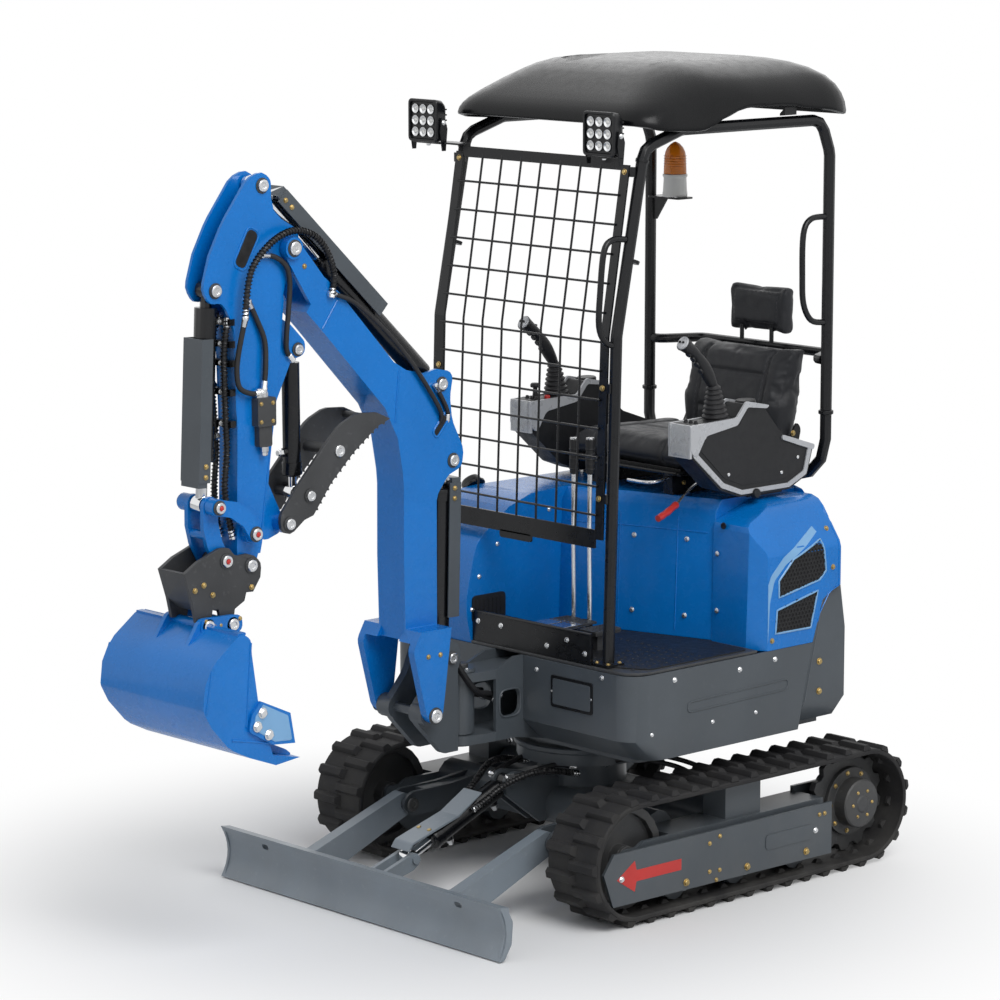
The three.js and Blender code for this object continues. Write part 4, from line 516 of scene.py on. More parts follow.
def drape(work, node, direction, outline, lift=1.2, step=14.0, depth=1.0):
    """A thin plate that follows a node's surface; outline holds points in space."""
    direction = Vector(direction).normalized()
    flat = bmesh.new()
    flat.faces.new([flat.verts.new(p) for p in outline])
    low = [min(p[i] for p in outline) for i in range(3)]
    high = [max(p[i] for p in outline) for i in range(3)]
    for i in range(3):
        if abs(direction[i]) > 0.9:
            continue
        count = int((high[i] - low[i]) / step)
        for k in range(1, count + 1):
            co = [0, 0, 0]
            co[i] = low[i] + (high[i] - low[i]) * k / (count + 1)
            no = [0, 0, 0]
            no[i] = 1
            bmesh.ops.bisect_plane(flat, geom=flat.verts[:] + flat.edges[:] + flat.faces[:], plane_co=co,
                plane_no=no)
    bmesh.ops.recalc_face_normals(flat, faces=flat.faces)
    top, bottom = {}, {}
    for v in flat.verts:
        hit, normal = land(node, direction, v.co)
        top[v] = work.vert(hit + normal * lift)
        bottom[v] = work.vert(hit - normal * depth)
    for f in flat.faces:
        work.face([top[v] for v in f.verts])
        work.face([bottom[v] for v in f.verts][::-1])
    for e in flat.edges:
        if e.is_boundary:
            a, b = e.verts
            work.face([top[a], top[b], bottom[b], bottom[a]])
    flat.free()


def seam(work, node, direction, points, radius=1.6, lift=0.4, loop=False, per=5, smooth=False):
    """A fine bead that follows a node's surface."""
    line = curve(points, per, loop) if smooth else subdivide(points, 12, loop)
    path = []
    for p in line:
        hit, normal = land(node, direction, p)
        path.append(hit + normal * lift)
    work.tube(path, radius, 6, loop)


def subdivide(points, step, loop=False):
    points = [Vector(p) for p in points]
    ends = points[1:] + (points[:1] if loop else [])
    out = []
    for a, b in zip(points, ends):
        count = max(1, int((b - a).length / step))
        out += [a.lerp(b, k / count) for k in range(count)]
    if not loop:
        out.append(points[-1])
    return out


def inside(point, outline):
    u, v = point
    hit = False
    for (a, b), (c, d) in zip(outline, outline[1:] + outline[:1]):
        if (b > v) != (d > v) and u < (c - a) * (v - b) / (d - b) + a:
            hit = not hit
    return hit


# ---------- running gear ----------
WHEEL_SPAN, IDLER_Y, WHEEL_Z = 855.0, -316.5, 164.5
BELT_OUT, BELT_IN, LUG_TIP = 151.8, 137.8, 164.5
BELT_X = (360.0, 538.0)


def on_belt(share, radius):
    """A point of the track loop, with its outward direction, in the plane (y, z)."""
    arc = math.pi * BELT_OUT
    s = (share % 1) * 2 * (WHEEL_SPAN + arc)
    if s < WHEEL_SPAN:
        return (IDLER_Y + s, WHEEL_Z + radius), math.pi / 2
    s -= WHEEL_SPAN
    rear = IDLER_Y + WHEEL_SPAN
    if s < arc:
        a = math.pi / 2 - s / BELT_OUT
        return (rear + math.cos(a) * radius, WHEEL_Z + math.sin(a) * radius), a
    s -= arc
    if s < WHEEL_SPAN:
        return (rear - s, WHEEL_Z - radius), -math.pi / 2
    s -= WHEEL_SPAN
    a = -math.pi / 2 - s / BELT_OUT
    return (IDLER_Y + math.cos(a) * radius, WHEEL_Z + math.sin(a) * radius), a


def track_lug(work, share, x0, x1, taper_in, taper_out):
    """One bar of the tread: wide at its foot, narrow at its crown, with slanted ends."""
    perimeter = 2 * (WHEEL_SPAN + math.pi * BELT_OUT)
    rings = []
    for radius, half, cut in ((BELT_OUT - 1, 15.0, 0), (BELT_OUT + 4, 13.0, 3), (LUG_TIP - 2.2, 9.5, 8),
        (LUG_TIP, 7.5, 10)):
        ring = []
        for x, sign in ((x0 + cut * taper_in, -1), (x0 + cut * taper_in, 1), (x1 - cut * taper_out, 1),
            (x1 - cut * taper_out, -1)):
            (y, z), _ = on_belt(share + sign * half / perimeter, radius)
            ring.append((x, y, z))
        rings.append(ring)
    work.skin(rings)


def rubber_tracks(f, sizes):
    links = sizes.link_count
    horn = sizes.horn / MM
    for side, name in ((1, "left"), (-1, "right")):
        work = Work(f["rubber"])
        work.place = Matrix.Diagonal((side, 1, 1, 1))
        steps = links * 8
        rows = []
        x0, x1 = BELT_X
        section = [(x0, BELT_IN + 3), (x0 + 2, BELT_IN), (x1 - 2, BELT_IN), (x1, BELT_IN + 3),
            (x1, BELT_OUT - 4),
                   (x1 - 4, BELT_OUT), (455, BELT_OUT), (449, BELT_OUT - 1.5), (443, BELT_OUT),
                   (x0 + 4, BELT_OUT), (x0, BELT_OUT - 4)]
        for k in range(steps):
            row = []
            for x, r in section:
                (y, z), _ = on_belt(k / steps, r)
                row.append((x, y, z))
            rows.append(row)
        work.skin(rows, loop=True)
        for k in range(links):
            middle = (k + 0.5) / links
            track_lug(work, middle - 0.25 / links, x0, 461, 0.4, 1.2)
            track_lug(work, middle + 0.25 / links, 437, x1, 1.2, 0.4)
            for x in (412, 486):
                rings = []
                for r, half, wide in ((BELT_IN + 1, 15, 8), (BELT_IN - horn * 0.6, 9, 6),
                    (BELT_IN - horn, 5, 4)):
                    ring = []
                    for dx, sign in ((-wide, -1), (-wide, 1), (wide, 1), (wide, -1)):
                        (y, z), _ = on_belt(middle + sign * half / (2 * (WHEEL_SPAN + math.pi * BELT_OUT)), r)
                        ring.append((x + dx, y, z))
                    rings.append(ring)
                work.skin(rings)
        work.piece(f"track_belt_{side > 0 and 'left' or 'right'}", "chassis", edge=0.8,
                   replaces=[f"track_{name}"], angle=25)


def running_gear(f, sizes):
    """Cover plates with their arrow, roller ends, drive housings and bolts."""
    for side, name in ((1, "left"), (-1, "right")):
        work = Work(f["grey"], f["brass"], f["steel"], f["bright"], f["red"])
        work.place = Matrix.Diagonal((side, 1, 1, 1))
        out = (1, 0, 0)
        face = 528.0
        work.use(f["brass"])
        for y in (-142, 81.5, 305):
            work.bolt((face, y, 80), out, 7.5)
        for y, z in ((-20, 179), (-20, 90), (-57, 166), (-57, 92), (-32, 66)):
            work.bolt((face, y, z), out, 4.5)
        for y in (355, 375):
            work.bolt((face, y, 170), out, 4.5)
        work.use(f["bright"])
        for y in (-372, 340):
            work.bolt((face, y, 130), out, 6)
        work.use(f["red"])
        arrow = [(-389, 130), (-326, 170), (-320, 145), (-160, 145), (-160, 116), (-320, 116), (-326, 90)]
        work.prism("x", arrow, face - 0.3, face + 0.8)
        work.use(f["grey"])
        work.prism("x", rounded_box(150, 330, 110, 150, 12), face - 0.4, face + 2.2)
        rear = IDLER_Y + WHEEL_SPAN
        work.use(f["steel"])
        work.turned((509, rear, WHEEL_Z), out, [(0, 66), (4, 62), (6, 50), (6, 24), (9, 20), (9, 0)], 32)
        work.use(f["brass"])
        for k in range(9):
            a = 2 * math.pi * (k + 0.5) / 9
            work.bolt((472, rear + 79 * math.cos(a), WHEEL_Z + 79 * math.sin(a)), out, 5)
        for k in range(6):
            a = 2 * math.pi * k / 6
            work.bolt((515, rear + 37 * math.cos(a), WHEEL_Z + 37 * math.sin(a)), out, 3.6)
        work.use(f["steel"])
        work.turned((475.5, IDLER_Y, WHEEL_Z), out, [(0, 34), (8, 34), (14, 26), (14, 12), (17, 10), (17, 0)],
            24)
        work.piece(f"running_gear_{name}", "chassis", edge=0.6)


def blade_detail(f, sizes):
    """Lip, seams, end wings, slots' rims and the bent plate over the blade's cylinder."""
    work = Work(f["blade"], f["brass"], f["steel"], f["bright"])
    work.tube([(-533, -766, 128), (533, -766, 128)], 5.5, 12)
    for s in (-1, 1):
        wing = fillet([(-793, 6), (-774, 6), (-752, 40, 20), (-748, 96, 20), (-764, 126), (-792, 136),
            (-772, 72, 60)])
        work.prism("x", wing, s * 531 - 4 * (s > 0) + 4 * (s < 0), s * 531 + 4)
        rim = fillet([(s * 372 - 17, 100, 9), (s * 372 + 17, 100, 9), (s * 372 + 17, 123, 9),
            (s * 372 - 17, 123, 9)], 4)
        work.tube([(u, -768, v) for u, v in rim], 2.0, 6, loop=True)
        for x in (s * 257, s * 293):
            work.tube([(x, -756, 30), (x, -750, 106)], 3.0, 8)
    work.use(f["blade"])
    cover = fillet([(-640, 152), (-628, 168, 12), (-470, 214, 20), (-392, 262, 12), (-392, 266),
        (-474, 219, 20), (-630, 173, 14), (-644, 154)])
    work.prism("x", cover, -34, 34)
    work.use(f["brass"])
    for x in (-20, 20):
        work.bolt((x, -560, 191), (0, -0.28, 0.96), 6)
    work.use(f["steel"])
    for s in (-1, 1):
        work.cap((s * 313, -391, 183), (s, 0, 0), 19, 6)
        work.cap((s * 237, -391, 183), (-s, 0, 0), 19, 6)
    work.piece("blade_detail", "blade_unit", edge=1.0)


# ---------- body ----------
def decks(f, sizes):
    """Skirt stampings, weight seam, floor, crossbar and nose fittings."""
    work = Work(f["grey"], f["brass"], f["bright"], f["dark"], f["black"])
    for s in (-1, 1):
        node = "skirt_left" if s > 0 else "skirt_right"
        way = (-s, 0, 0)
        work.use(f["grey"])
        slot = fillet([(-72, 498, 14), (300, 504, 14), (300, 531, 14), (-72, 524, 14)], 4)
        seam(work, node, way, [(s * 460, y, z) for y, z in slot], 2.4, 0.2, loop=True)
        work.use(f["bright"])
        for y, z in ((118, 582), (-120, 590), (250, 590)):
            hit, n = land(node, way, (s * 460, y, z))
            work.bolt(hit - n * 0.3, n, 5.5)
        for y in (-200, 20, 180):
            hit, n = land(node, way, (s * 460, y, 460))
            work.bolt(hit - n * 0.3, n, 4.2)
    work.use(f["black"])
    plate = rounded_box(165, 318, 497, 580, 8)
    work.prism("y", plate, -272.2, -268)
    work.use(f["grey"])
    work.prism("y", rounded_box(173, 310, 505, 572, 6), -273.4, -270)
    work.use(f["bright"])
    for x, z in ((169, 538), (314, 538)):
        work.bolt((x, -272, z), (0, -1, 0), 3.2, washer=False)
    for x, z in ((-420, 600), (-200, 600), (110, 584), (350, 600)):
        work.bolt((x, -270, z), (0, -1, 0), 5)
    work.use(f["grey"])
    for s in (-1, 1):
        line = [(s * 470, 346, 412), (s * 470, 397, 620), (s * 470, 432, 720), (s * 470, 474, 748)]
        seam(work, "counterweight", (-s, 0, 0), [(p[0], p[1] + 7, p[2]) for p in line], 2.2, 0.0)
    work.use(f["brass"])
    for s in (-1, 1):
        for z in (480, 560):
            hit, n = land("counterweight", (-s, 0, 0), (s * 470, 420, z))
            work.bolt(hit, n, 7)
    work.piece("skirt_detail", "house", edge=0.7)

    floor = Work(f["steel"], f["bright"], f["black"], f["plastic"])
    floor.use(f["plastic"])
    mat = fillet([(-128, -240, 20), (350, -240, 20), (440, -190, 40), (440, 170, 20), (290, 176, 10),
        (20, 92, 10), (-128, 44, 10)])
    floor.prism("z", mat, 621.6, 625)
    for row in range(9):
        for col in range(21):
            x, y = -110 + col * 26 + (row % 2) * 13, -220 + row * 30
            if y < 20 + max(0, (x - 0) * 0.3) and x < 425 and not (-20 < x < 230 and -175 < y < 5):
                floor.turned((x, y, 624.6), UP, [(0, 5.2), (1.4, 4.2), (1.8, 2.5)], 8)
    floor.use(f["black"])
    floor.tube([(-140, -258, 700), (300, -258, 700)], 5.0, 12)
    floor.use(f["bright"])
    for x, z in ((-33, 676), (-120, 676), (214, 676), (140, 650), (280, 650)):
        floor.bolt((x, -262, z), (0, -1, 0), 5.5)
    floor.piece("floor_mat", "house", edge=0.4)

    nose = Work(f["grey"], f["steel"], f["bright"], f["red"])
    for z0, z1 in ((398, 402), (589, 597)):
        nose.turned((0, -440, z0), UP, [(0, 42), (1.5, 43), (z1 - z0, 40)], 28)
    nose.use(f["steel"])
    nose.turned((0, -440, 597), UP, [(0, 24), (10, 24), (13, 21), (13, 6), (10, 5), (10, 0)], 24)
    nose.use(f["bright"])
    nose.bolt((30, -440, 596), UP, 5)
    nose.turned((-30, -440, 596), UP, [(0, 4), (5, 4), (6, 3), (9, 2.4), (10, 1)], 12)
    nose.use(f["grey"])
    for s in (-1, 1):
        ring = fillet([(-354, 460, 26), (-280, 460, 26), (-280, 532, 26), (-354, 532, 26)], 6)
        nose.tube([(s * 60.5, y, z) for y, z in ring], 2.8, 8, loop=True)
    nose.turned((0, 0, 335.5), UP, [(0, 160), (0, 178), (4, 182), (14, 182), (17, 178), (17, 160)], 56)
    nose.piece("nose_detail", "house", edge=0.5)


def grille(work, f, node, direction, corners, pitch):
    """A honeycomb grille let into a panel, with a pale rim and a near-black back that paints the shade inside
    the hood.
    """
    s = 1 if direction[0] < 0 else -1
    outline = [(y, z) for _, y, z in corners]
    middle = Vector((sum(p[0] for p in outline) / len(outline), sum(p[1] for p in outline) / len(outline)))
    # The near-black sheet under the cells is painted shade: the dark inside of the hood seen through the
    # grille.
    work.use(f["dark"])
    drape(work, node, direction, corners, 0.5, 16)
    shrunk = [tuple(middle + (Vector(p) - middle) * 0.95) for p in outline]
    work.use(f["plastic"])
    low = [min(p[i] for p in outline) for i in (0, 1)]
    high = [max(p[i] for p in outline) for i in (0, 1)]
    rows = int((high[1] - low[1]) / (pitch * 0.866)) + 1
    for r in range(rows):
        v = low[1] + r * pitch * 0.866
        for q in range(int((high[0] - low[0]) / pitch) + 1):
            u = low[0] + q * pitch + (r % 2) * pitch / 2
            if not inside((u, v), shrunk):
                continue
            hit, normal = land(node, direction, (s * 460, u, v))
            side = Vector((0, 1, 0)) - normal * normal.y
            side.normalize()
            other = normal.cross(side)
            rings = []
            for radius, lift in ((0.56, 0.4), (0.56, 2.2), (0.40, 2.2), (0.37, 0.45)):
                centre, reach = hit + normal * lift, radius * pitch
                rings.append([centre + (side * math.sin(a) + other * math.cos(a)) * reach
                              for a in (k * math.pi / 3 for k in range(6))])
            work.skin(rings, caps=False)
    work.use(f["pale"])
    seam(work, node, direction, corners, 2.8, 0.6, loop=True)


def hoods(f, sizes):
    """Painted highlight band on the left hood's rounded corner, grilles, bolts, locks, blank plates and panel
    gaps of the hoods.
    """
    pitch = sizes.hex_pitch / MM
    for s, node in ((1, "left_hood"), (-1, "right_hood")):
        work = Work(f["blue"], f["pale"], f["dark"], f["plastic"], f["brass"], f["bright"], f["black"])
        way = (-s, 0, 0)

        def spots(points):
            return [(s * 460, y, z) for y, z in points]

        grille(work, f, node, way, spots([(262, 751), (261, 795), (316, 846), (429, 884), (441, 801),
            (417, 779)]), pitch)
        grille(work, f, node, way, spots([(250, 657), (255, 718), (410, 751), (384, 656)]), pitch)
        if s > 0:
            # The pale band on the left hood's rounded front corner and shoulder is a painted highlight of the
            # light on that curve.
            work.use(f["pale"])
            highlight_band = fillet([(222, 632), (228, 740, 60), (244, 797, 30), (288, 835, 30), (429, 901), (421, 916),
                (280, 856, 40), (232, 812, 40), (222, 790)])
            drape(work, node, way, spots(highlight_band), 0.7, 12)
            work.use(f["bright"])
            for x, z in ((287, 856), (287, 705)):
                work.bolt((x + 22, 187.5, z), (0, -1, 0), 5.5)
            work.use(f["blue"])
            # A plate of the same paint closes the gap along the shoulder.
            rim = [land(node, (-1, 0, -1), (440 + t, 290, 940 - t)) for t in range(-48, 49, 8)]
            under = [(hit - n * depth) for depth, row in ((0.4, rim), (3.4, rim[::-1])) for hit, n in row]
            work.prism("y", [(p.x, p.z) for p in under], 296, 498)
            work.use(f["black"])
            work.turned((330, 188.6, 932), (0, -1, 0.05),
                [(0, 9), (1.5, 9), (2.2, 7.5), (2.2, 3), (0.8, 2.6), (0.8, 0)], 20)
        work.use(f["brass"])
        for y, z in ((468, 806), (470, 905), (238, 640)):
            hit, n = land(node, way, (s * 460, y, z))
            work.bolt(hit - n * 0.3, n, 5.5)
        work.use(f["blue"])
        seam(work, node, way, spots([(492, 640), (492, 960)]), 1.6, 0.1)
        work.piece(f"hood_detail_{'left' if s > 0 else 'right'}", "house", edge=0)

    front = Work(f["blue"], f["bright"], f["black"], f["dark"], f["plastic"])
    front.use(f["bright"])
    for y, z in ((2, 948), (-185, 878), (-250, 799), (-275, 714)):
        hit, n = land("right_hood", (-1, 0, 0), (-143, y + 12, z - 12))
        front.bolt(hit - n * 0.3, n, 5)
    for x, z in ((210, 883), (210, 680), (60, 880), (60, 680)):
        hit, n = land("seat_base", (0, 1, 0), (x, 180, z))
        front.bolt(hit - n * 0.3, n, 5.5)
    front.use(f["blue"])
    for x in (184, 20):
        seam(front, "seat_base", (0, 1, 0), [(x, 150, 640), (x, 150, 940)], 1.8, 0.2)
    seam(front, "seat_base", (0, 1, 0), [(-120, 100, 905), (270, 190, 905)], 1.8, 0.2)
    front.use(f["plastic"])
    front.prism("x", rounded_box(-265, -147, 666, 738, 14), -143.2, -139)
    for k in range(7):
        front.block(-139.2, -138, -255 + k * 15, -248 + k * 15, 676, 728)
    front.use(f["black"])
    drape(front, "right_hood", (0, 1, 0), [(-400, -290, 700), (-230, -290, 700), (-230, -290, 770), (-400,
        -290, 770)], 1.4, 14)
    front.use(f["bright"])
    for x in (-390, -240):
        for z in (708, 762):
            hit, n = land("right_hood", (0, 1, 0), (x, -290, z))
            front.bolt(hit + n * 1.2, n, 3, washer=False)
    front.use(f["black"])
    hit, n = land("right_hood", (0, 0, -1), (-380, -40, 990))
    front.turned(hit - n, n, [(0, 34), (6, 34), (8, 30), (20, 28), (26, 24), (27, 12), (24, 10), (24, 0)], 28)
    front.piece("hood_fittings", "house", edge=0.5)

    rear = Work(f["blue"], f["dark"], f["plastic"], f["pale"], f["bright"])
    # Near-black lines across the rear bonnet paint the shade in the louvre slots.
    for k in range(9):
        z = 800 + k * 11
        rear.use(f["dark"])
        line = [(x, 700, z) for x in range(-150, 151, 20)]
        path = []
        for p in line:
            hit, n = land("rear_bonnet", (0, -1, 0), p)
            path.append(hit + n * 0.4)
        rear.tube(path, 2.6, 6)
    rear.use(f["blue"])
    seam(rear, "rear_bonnet", (0, -1, 0), [(-180, 700, 786), (180, 700, 786), (180, 700, 904), (-180, 700,
        904)], 2.6, 0.3, loop=True)
    rear.use(f["bright"])
    for x in (-230, 230):
        hit, n = land("rear_bonnet", (0, -1, 0), (x, 700, 800))
        rear.bolt(hit, n, 5)
    rear.piece("bonnet_louvres", "house", edge=0)


# ---------- canopy ----------
def mesh_guard(f, sizes):
    """The welded screen in front of the driver."""
    work = Work(f["black"], f["brass"])
    r = sizes.wire / MM / 2
    low, knee, top = (-240, 945), (-222, 1460), (-152, 1885)
    pitch = 586 / 8
    for s in (-1, 1):
        for (y0, z0), (y1, z1) in ((low, knee), (knee, top)):
            work.prism("x", [(y0 - 3, z0), (y1 - 3, z1), (y1 + 3, z1), (y0 + 3, z0)],
                *sorted((s * 293, s * 321)))
        for y, z, reach in ((-152, 1868, 12), (-226, 1330, 8), (-236, 1050, 8)):
            work.prism("z", rounded_box(*sorted((s * 298, s * 332)), y - 3, y + reach, 4), z - 12, z + 12)
        work.use(f["brass"])
        for y, z in ((-158, 1868), (-232, 1330), (-243, 1050)):
            work.bolt((s * 307, y + 1.2, z), (0, -1, 0.1), 6)
        work.use(f["black"])
    for (y, z), half in ((top, 14), (low, 24)):
        work.prism("y", rounded_box(-294, 294, z - half, z + half, 3), y - 3, y + 3)
    work.prism("y", rounded_box(-60, 60, 905, 926, 8), -243, -237)

    def on_screen(z):
        if z < knee[1]:
            return low[0] + (knee[0] - low[0]) * (z - low[1]) / (knee[1] - low[1])
        return knee[0] + (top[0] - knee[0]) * (z - knee[1]) / (top[1] - knee[1])

    for i in range(7):
        x = -293 + (i + 1) * pitch
        work.tube([(x, low[0], low[1]), (x, *knee), (x, *top)], r, 8)
    z = low[1] + 62
    while z < top[1] - 30:
        y = on_screen(z) - 2 * r + 0.6
        work.tube([(-300, y, z), (300, y, z)], r, 8)
        z += sizes.wire_pitch / MM
    work.piece("screen_guard", "house", edge=0.6, replaces=["mesh_guard"])


def roof(f, sizes):
    """A moulded roof with a crowned top, rounded rim and arched sides."""
    work = Work(f["roof"], f["black"])
    half, front, rear = 372, -150, 640

    def rim(y):
        points = [(-150, 1981), (-60, 1966), (40, 1960), (78, 1962), (140, 1992), (223, 2014), (350, 2012),
            (500, 1996), (626, 1977), (640, 1976)]
        for (a, za), (b, zb) in zip(points, points[1:]):
            if y <= b:
                t = max(0, min(1, (y - a) / (b - a)))
                return za + (zb - za) * (t * t * (3 - 2 * t))
        return points[-1][1]

    # The lower edge, the height above it, and the slope at the front.
    edge_z, rise, visor_depth, visor_drop = 1981, 149, 280, 70

    def droop(y, z):
        """The front of the roof slopes down like a visor."""
        t = max(0, min(1, (130 - y) / visor_depth))
        return visor_drop * t * t * (3 - 2 * t) * max(0, z - edge_z) / rise

    def ring(inset, z, share):
        plan = rounded_box(-half + inset, half - inset, front + inset, rear - inset,
            max(14, 92 - inset * 0.2), 8)
        out = []
        for k, (x, y) in enumerate(plan):
            nxt = plan[(k + 1) % len(plan)]
            span = (Vector(nxt) - Vector((x, y))).length
            count = max(1, int(span / 40))
            for i in range(count):
                t = i / count
                px, py = x + (nxt[0] - x) * t, y + (nxt[1] - y) * t
                out.append((px, py, z + (rim(py) - edge_z) * share - droop(py, z)))
        return out

    count = len(ring(0, 0, 0))
    levels = [(6, 1981, 1), (1, 1984, 1), (0, 1992, 0.95), (3, 2014, 0.75), (10, 2036, 0.5), (22, 2058, 0.3),
              (42, 2080, 0.15), (74, 2100, 0.05), (112, 2115, 0), (152, 2124, 0), (196, 2129.5, 0)]
    outer = [ring(*level) for level in levels]
    under = [ring(*level) for level in ((12, 1981.4, 1), (14, 1996, 0.9), (24, 2030, 0.45), (52, 2066, 0.15),
        (110, 2098, 0), (180, 2114, 0))]

    def matched(r):
        """The same number of points on every ring, by share of its length."""
        pts = [Vector(p) for p in r]
        n = len(pts)
        lengths = [0]
        for i in range(n):
            lengths.append(lengths[-1] + (pts[(i + 1) % n] - pts[i]).length)
        out = []
        for k in range(count):
            s = lengths[-1] * k / count
            i = max(j for j in range(n) if lengths[j] <= s + 1e-9)
            span = lengths[i + 1] - lengths[i]
            out.append(pts[i].lerp(pts[(i + 1) % n], (s - lengths[i]) / span if span else 0))
        return out

    work.skin([matched(r) for r in under[::-1]] + [matched(r) for r in outer])
    work.use(f["black"])
    for y in (90, 400):
        for s in (-1, 1):
            work.prism("y", [(s * 352, 1986), (s * 334, 1984), (s * 334, 1990), (s * 352, 2006)], y - 22,
                y + 22)
    made = work.piece("roof_shell", "house", edge=0, replaces=["canopy_roof"])
    return made


def canopy_detail(f, sizes):
    """Grab handles, feet bolts, lamps, the beacon and its bracket."""
    work = Work(f["black"], f["brass"], f["bright"])
    for s in (-1, 1):
        front = curve([(s * 330, -176, 1702), (s * 330, -222, 1703), (s * 330, -250, 1676),
            (s * 330, -262, 1580), (s * 330, -266, 1491),
                       (s * 330, -244, 1450), (s * 330, -212, 1437)], 5)
        rear = curve([(s * 330, 560, 1712), (s * 330, 505, 1708), (s * 330, 478, 1670), (s * 330, 476, 1560),
            (s * 330, 482, 1487),
                      (s * 330, 512, 1442), (s * 330, 562, 1432)], 5)
        if s > 0:
            work.use(f["black"]).tube(front, 8, 14)
            work.tube(rear, 8, 14)
        foot_y, foot_z = (-228, 630.3) if s > 0 else (-220, 923.3)
        work.use(f["brass"])
        for dx in (-20, 20):
            for dy in (-20, 20):
                work.bolt((s * 330 + dx, foot_y + dy, foot_z), UP, 4.6)
        work.use(f["black"])
        for y, z in ((-150, 1640), (-120, 1890)):
            work.turned((s * 330, y, z), (0, 0.35, 1), [(0, 16.6), (8, 17.2), (9, 16)], 20)
    work.use(f["black"])
    for s in (-1, 1):
        work.turned((s * 330, 575, 1186), UP, [(0, 17), (2, 20), (10, 20), (12, 17)], 24)
        work.use(f["brass"])
        for dx in (-14, 14):
            work.bolt((s * 150 + dx, 545, 1010), (0, 0, 1), 4.6)
        work.use(f["black"])
    work.piece("canopy_fittings", "house", edge=0.4)

    for name, x, y in (("left", 268, -152), ("right", -391, -152)):
        lamp = Work(f["black"], f["bright"], f["lens"], f["plastic"])
        half, z = 56, 1963
        lamp.skin([[(x + u, yy, z + v) for u, v in rounded_box(-h, h, -h, h, r)] for yy, h, r in
                   ((y - 14, 30, 16), (y - 17, 44, 16), (y - 34, 53, 14), (y - 52, 55.5, 12),
                       (y - 57, 56, 12), (y - 60, 54.5, 12),
                    (y - 60, 49, 9), (y - 53, 47.5, 9))])
        lamp.use(f["black"]).prism("y", [(x + u, z + v) for u, v in rounded_box(-47.5, 47.5, -47.5, 47.5, 8)],
            y - 54.5, y - 52)
        for i in (-1, 0, 1):
            for j in (-1, 0, 1):
                cx, cz = x + i * 30, z + j * 30
                lamp.use(f["bright"]).turned((cx, y - 54.6, cz), (0, -1, 0),
                    [(0, 11.5), (2.6, 12.6), (3.4, 12.2), (3.2, 11), (0.8, 4)], 20)
                lamp.use(f["white"]).turned((cx, y - 55, cz), (0, -1, 0),
                    [(0, 6), (1.6, 5.6), (3.4, 3.8), (4.2, 1.5)], 14)
        lamp.use(f["black"])
        for k in range(5):
            lamp.prism("y", rounded_box(x - 40, x + 40, z - 30 + k * 14, z - 26 + k * 14, 1.5), y - 18, y - 8)
        lamp.prism("x", fillet([(y - 42, z - 78), (y - 30, z - 78), (y - 24, z - 20, 10), (y - 34, z + 8, 8),
            (y - 46, z + 8, 8), (y - 50, z - 30, 8)]), x - 60, x - 56.5)
        lamp.prism("x", fillet([(y - 42, z - 78), (y - 30, z - 78), (y - 24, z - 20, 10), (y - 34, z + 8, 8),
            (y - 46, z + 8, 8), (y - 50, z - 30, 8)]), x + 56.5, x + 60)
        lamp.prism("y", rounded_box(x - 60, x + 60, z - 60.5, z - 57, 1), y - 44, y - 28)
        lamp.use(f["bright"])
        for s in (-1, 1):
            lamp.bolt((x + s * 60, y - 38, z - 4), (s, 0, 0), 5)
        lamp.bolt((x, y - 37, z - 62), (0, 0, -1), 5)
        lamp.use(f["black"])
        foot = x if name == "left" else -281
        lamp.block(min(x, foot) - 10, max(x, foot) + 10, y - 40, y + 3, 1903.3, 1908.3)
        lamp.block(foot - 10, foot + 10, y - 3, y + 3, 1898.8, 1904)
        lamp.block(x - 9, x + 9, y - 40, y - 34, 1907, z - 57)
        lamp.piece(f"lamp_{name}", "house", edge=0.5, replaces=[f"work_light_{name}"])

    x, y = -237, 575
    light = Work(f["white"], f["amber"], f["black"], f["bright"], f["lens"])
    light.use(f["black"])
    light.prism("z", rounded_box(-314, x + 42, y - 30, y + 30, 8), 1721, 1726)
    light.prism("y", [(-314, 1660), (-314, 1724), (x - 30, 1724), (x - 30, 1716), (-306, 1660)], y - 3, y + 3)
    light.use(f["white"]).turned((x, y, 1726), UP,
        [(0, 33), (2, 34), (12, 34), (14, 33), (52, 31), (56, 34), (61, 34), (63, 31)], 40)
    light.use(f["amber"]).turned((x, y, 1788), UP,
        [(0, 30), (2, 31.5), (48, 29.5), (60, 27.5), (72, 22), (82, 13), (87, 5), (88.5, 0)], 40)
    for k in range(7):
        light.turned((x, y, 1794 + k * 7), UP, [(0, 30.4), (1.2, 31.6), (2.4, 30.4)], 40)
    light.use(f["bright"])
    for dx in (-24, 24):
        light.bolt((x + dx, y - 22, 1726), UP, 3.5)
    light.piece("beacon_lamp", "house", edge=0.3, replaces=["beacon"])


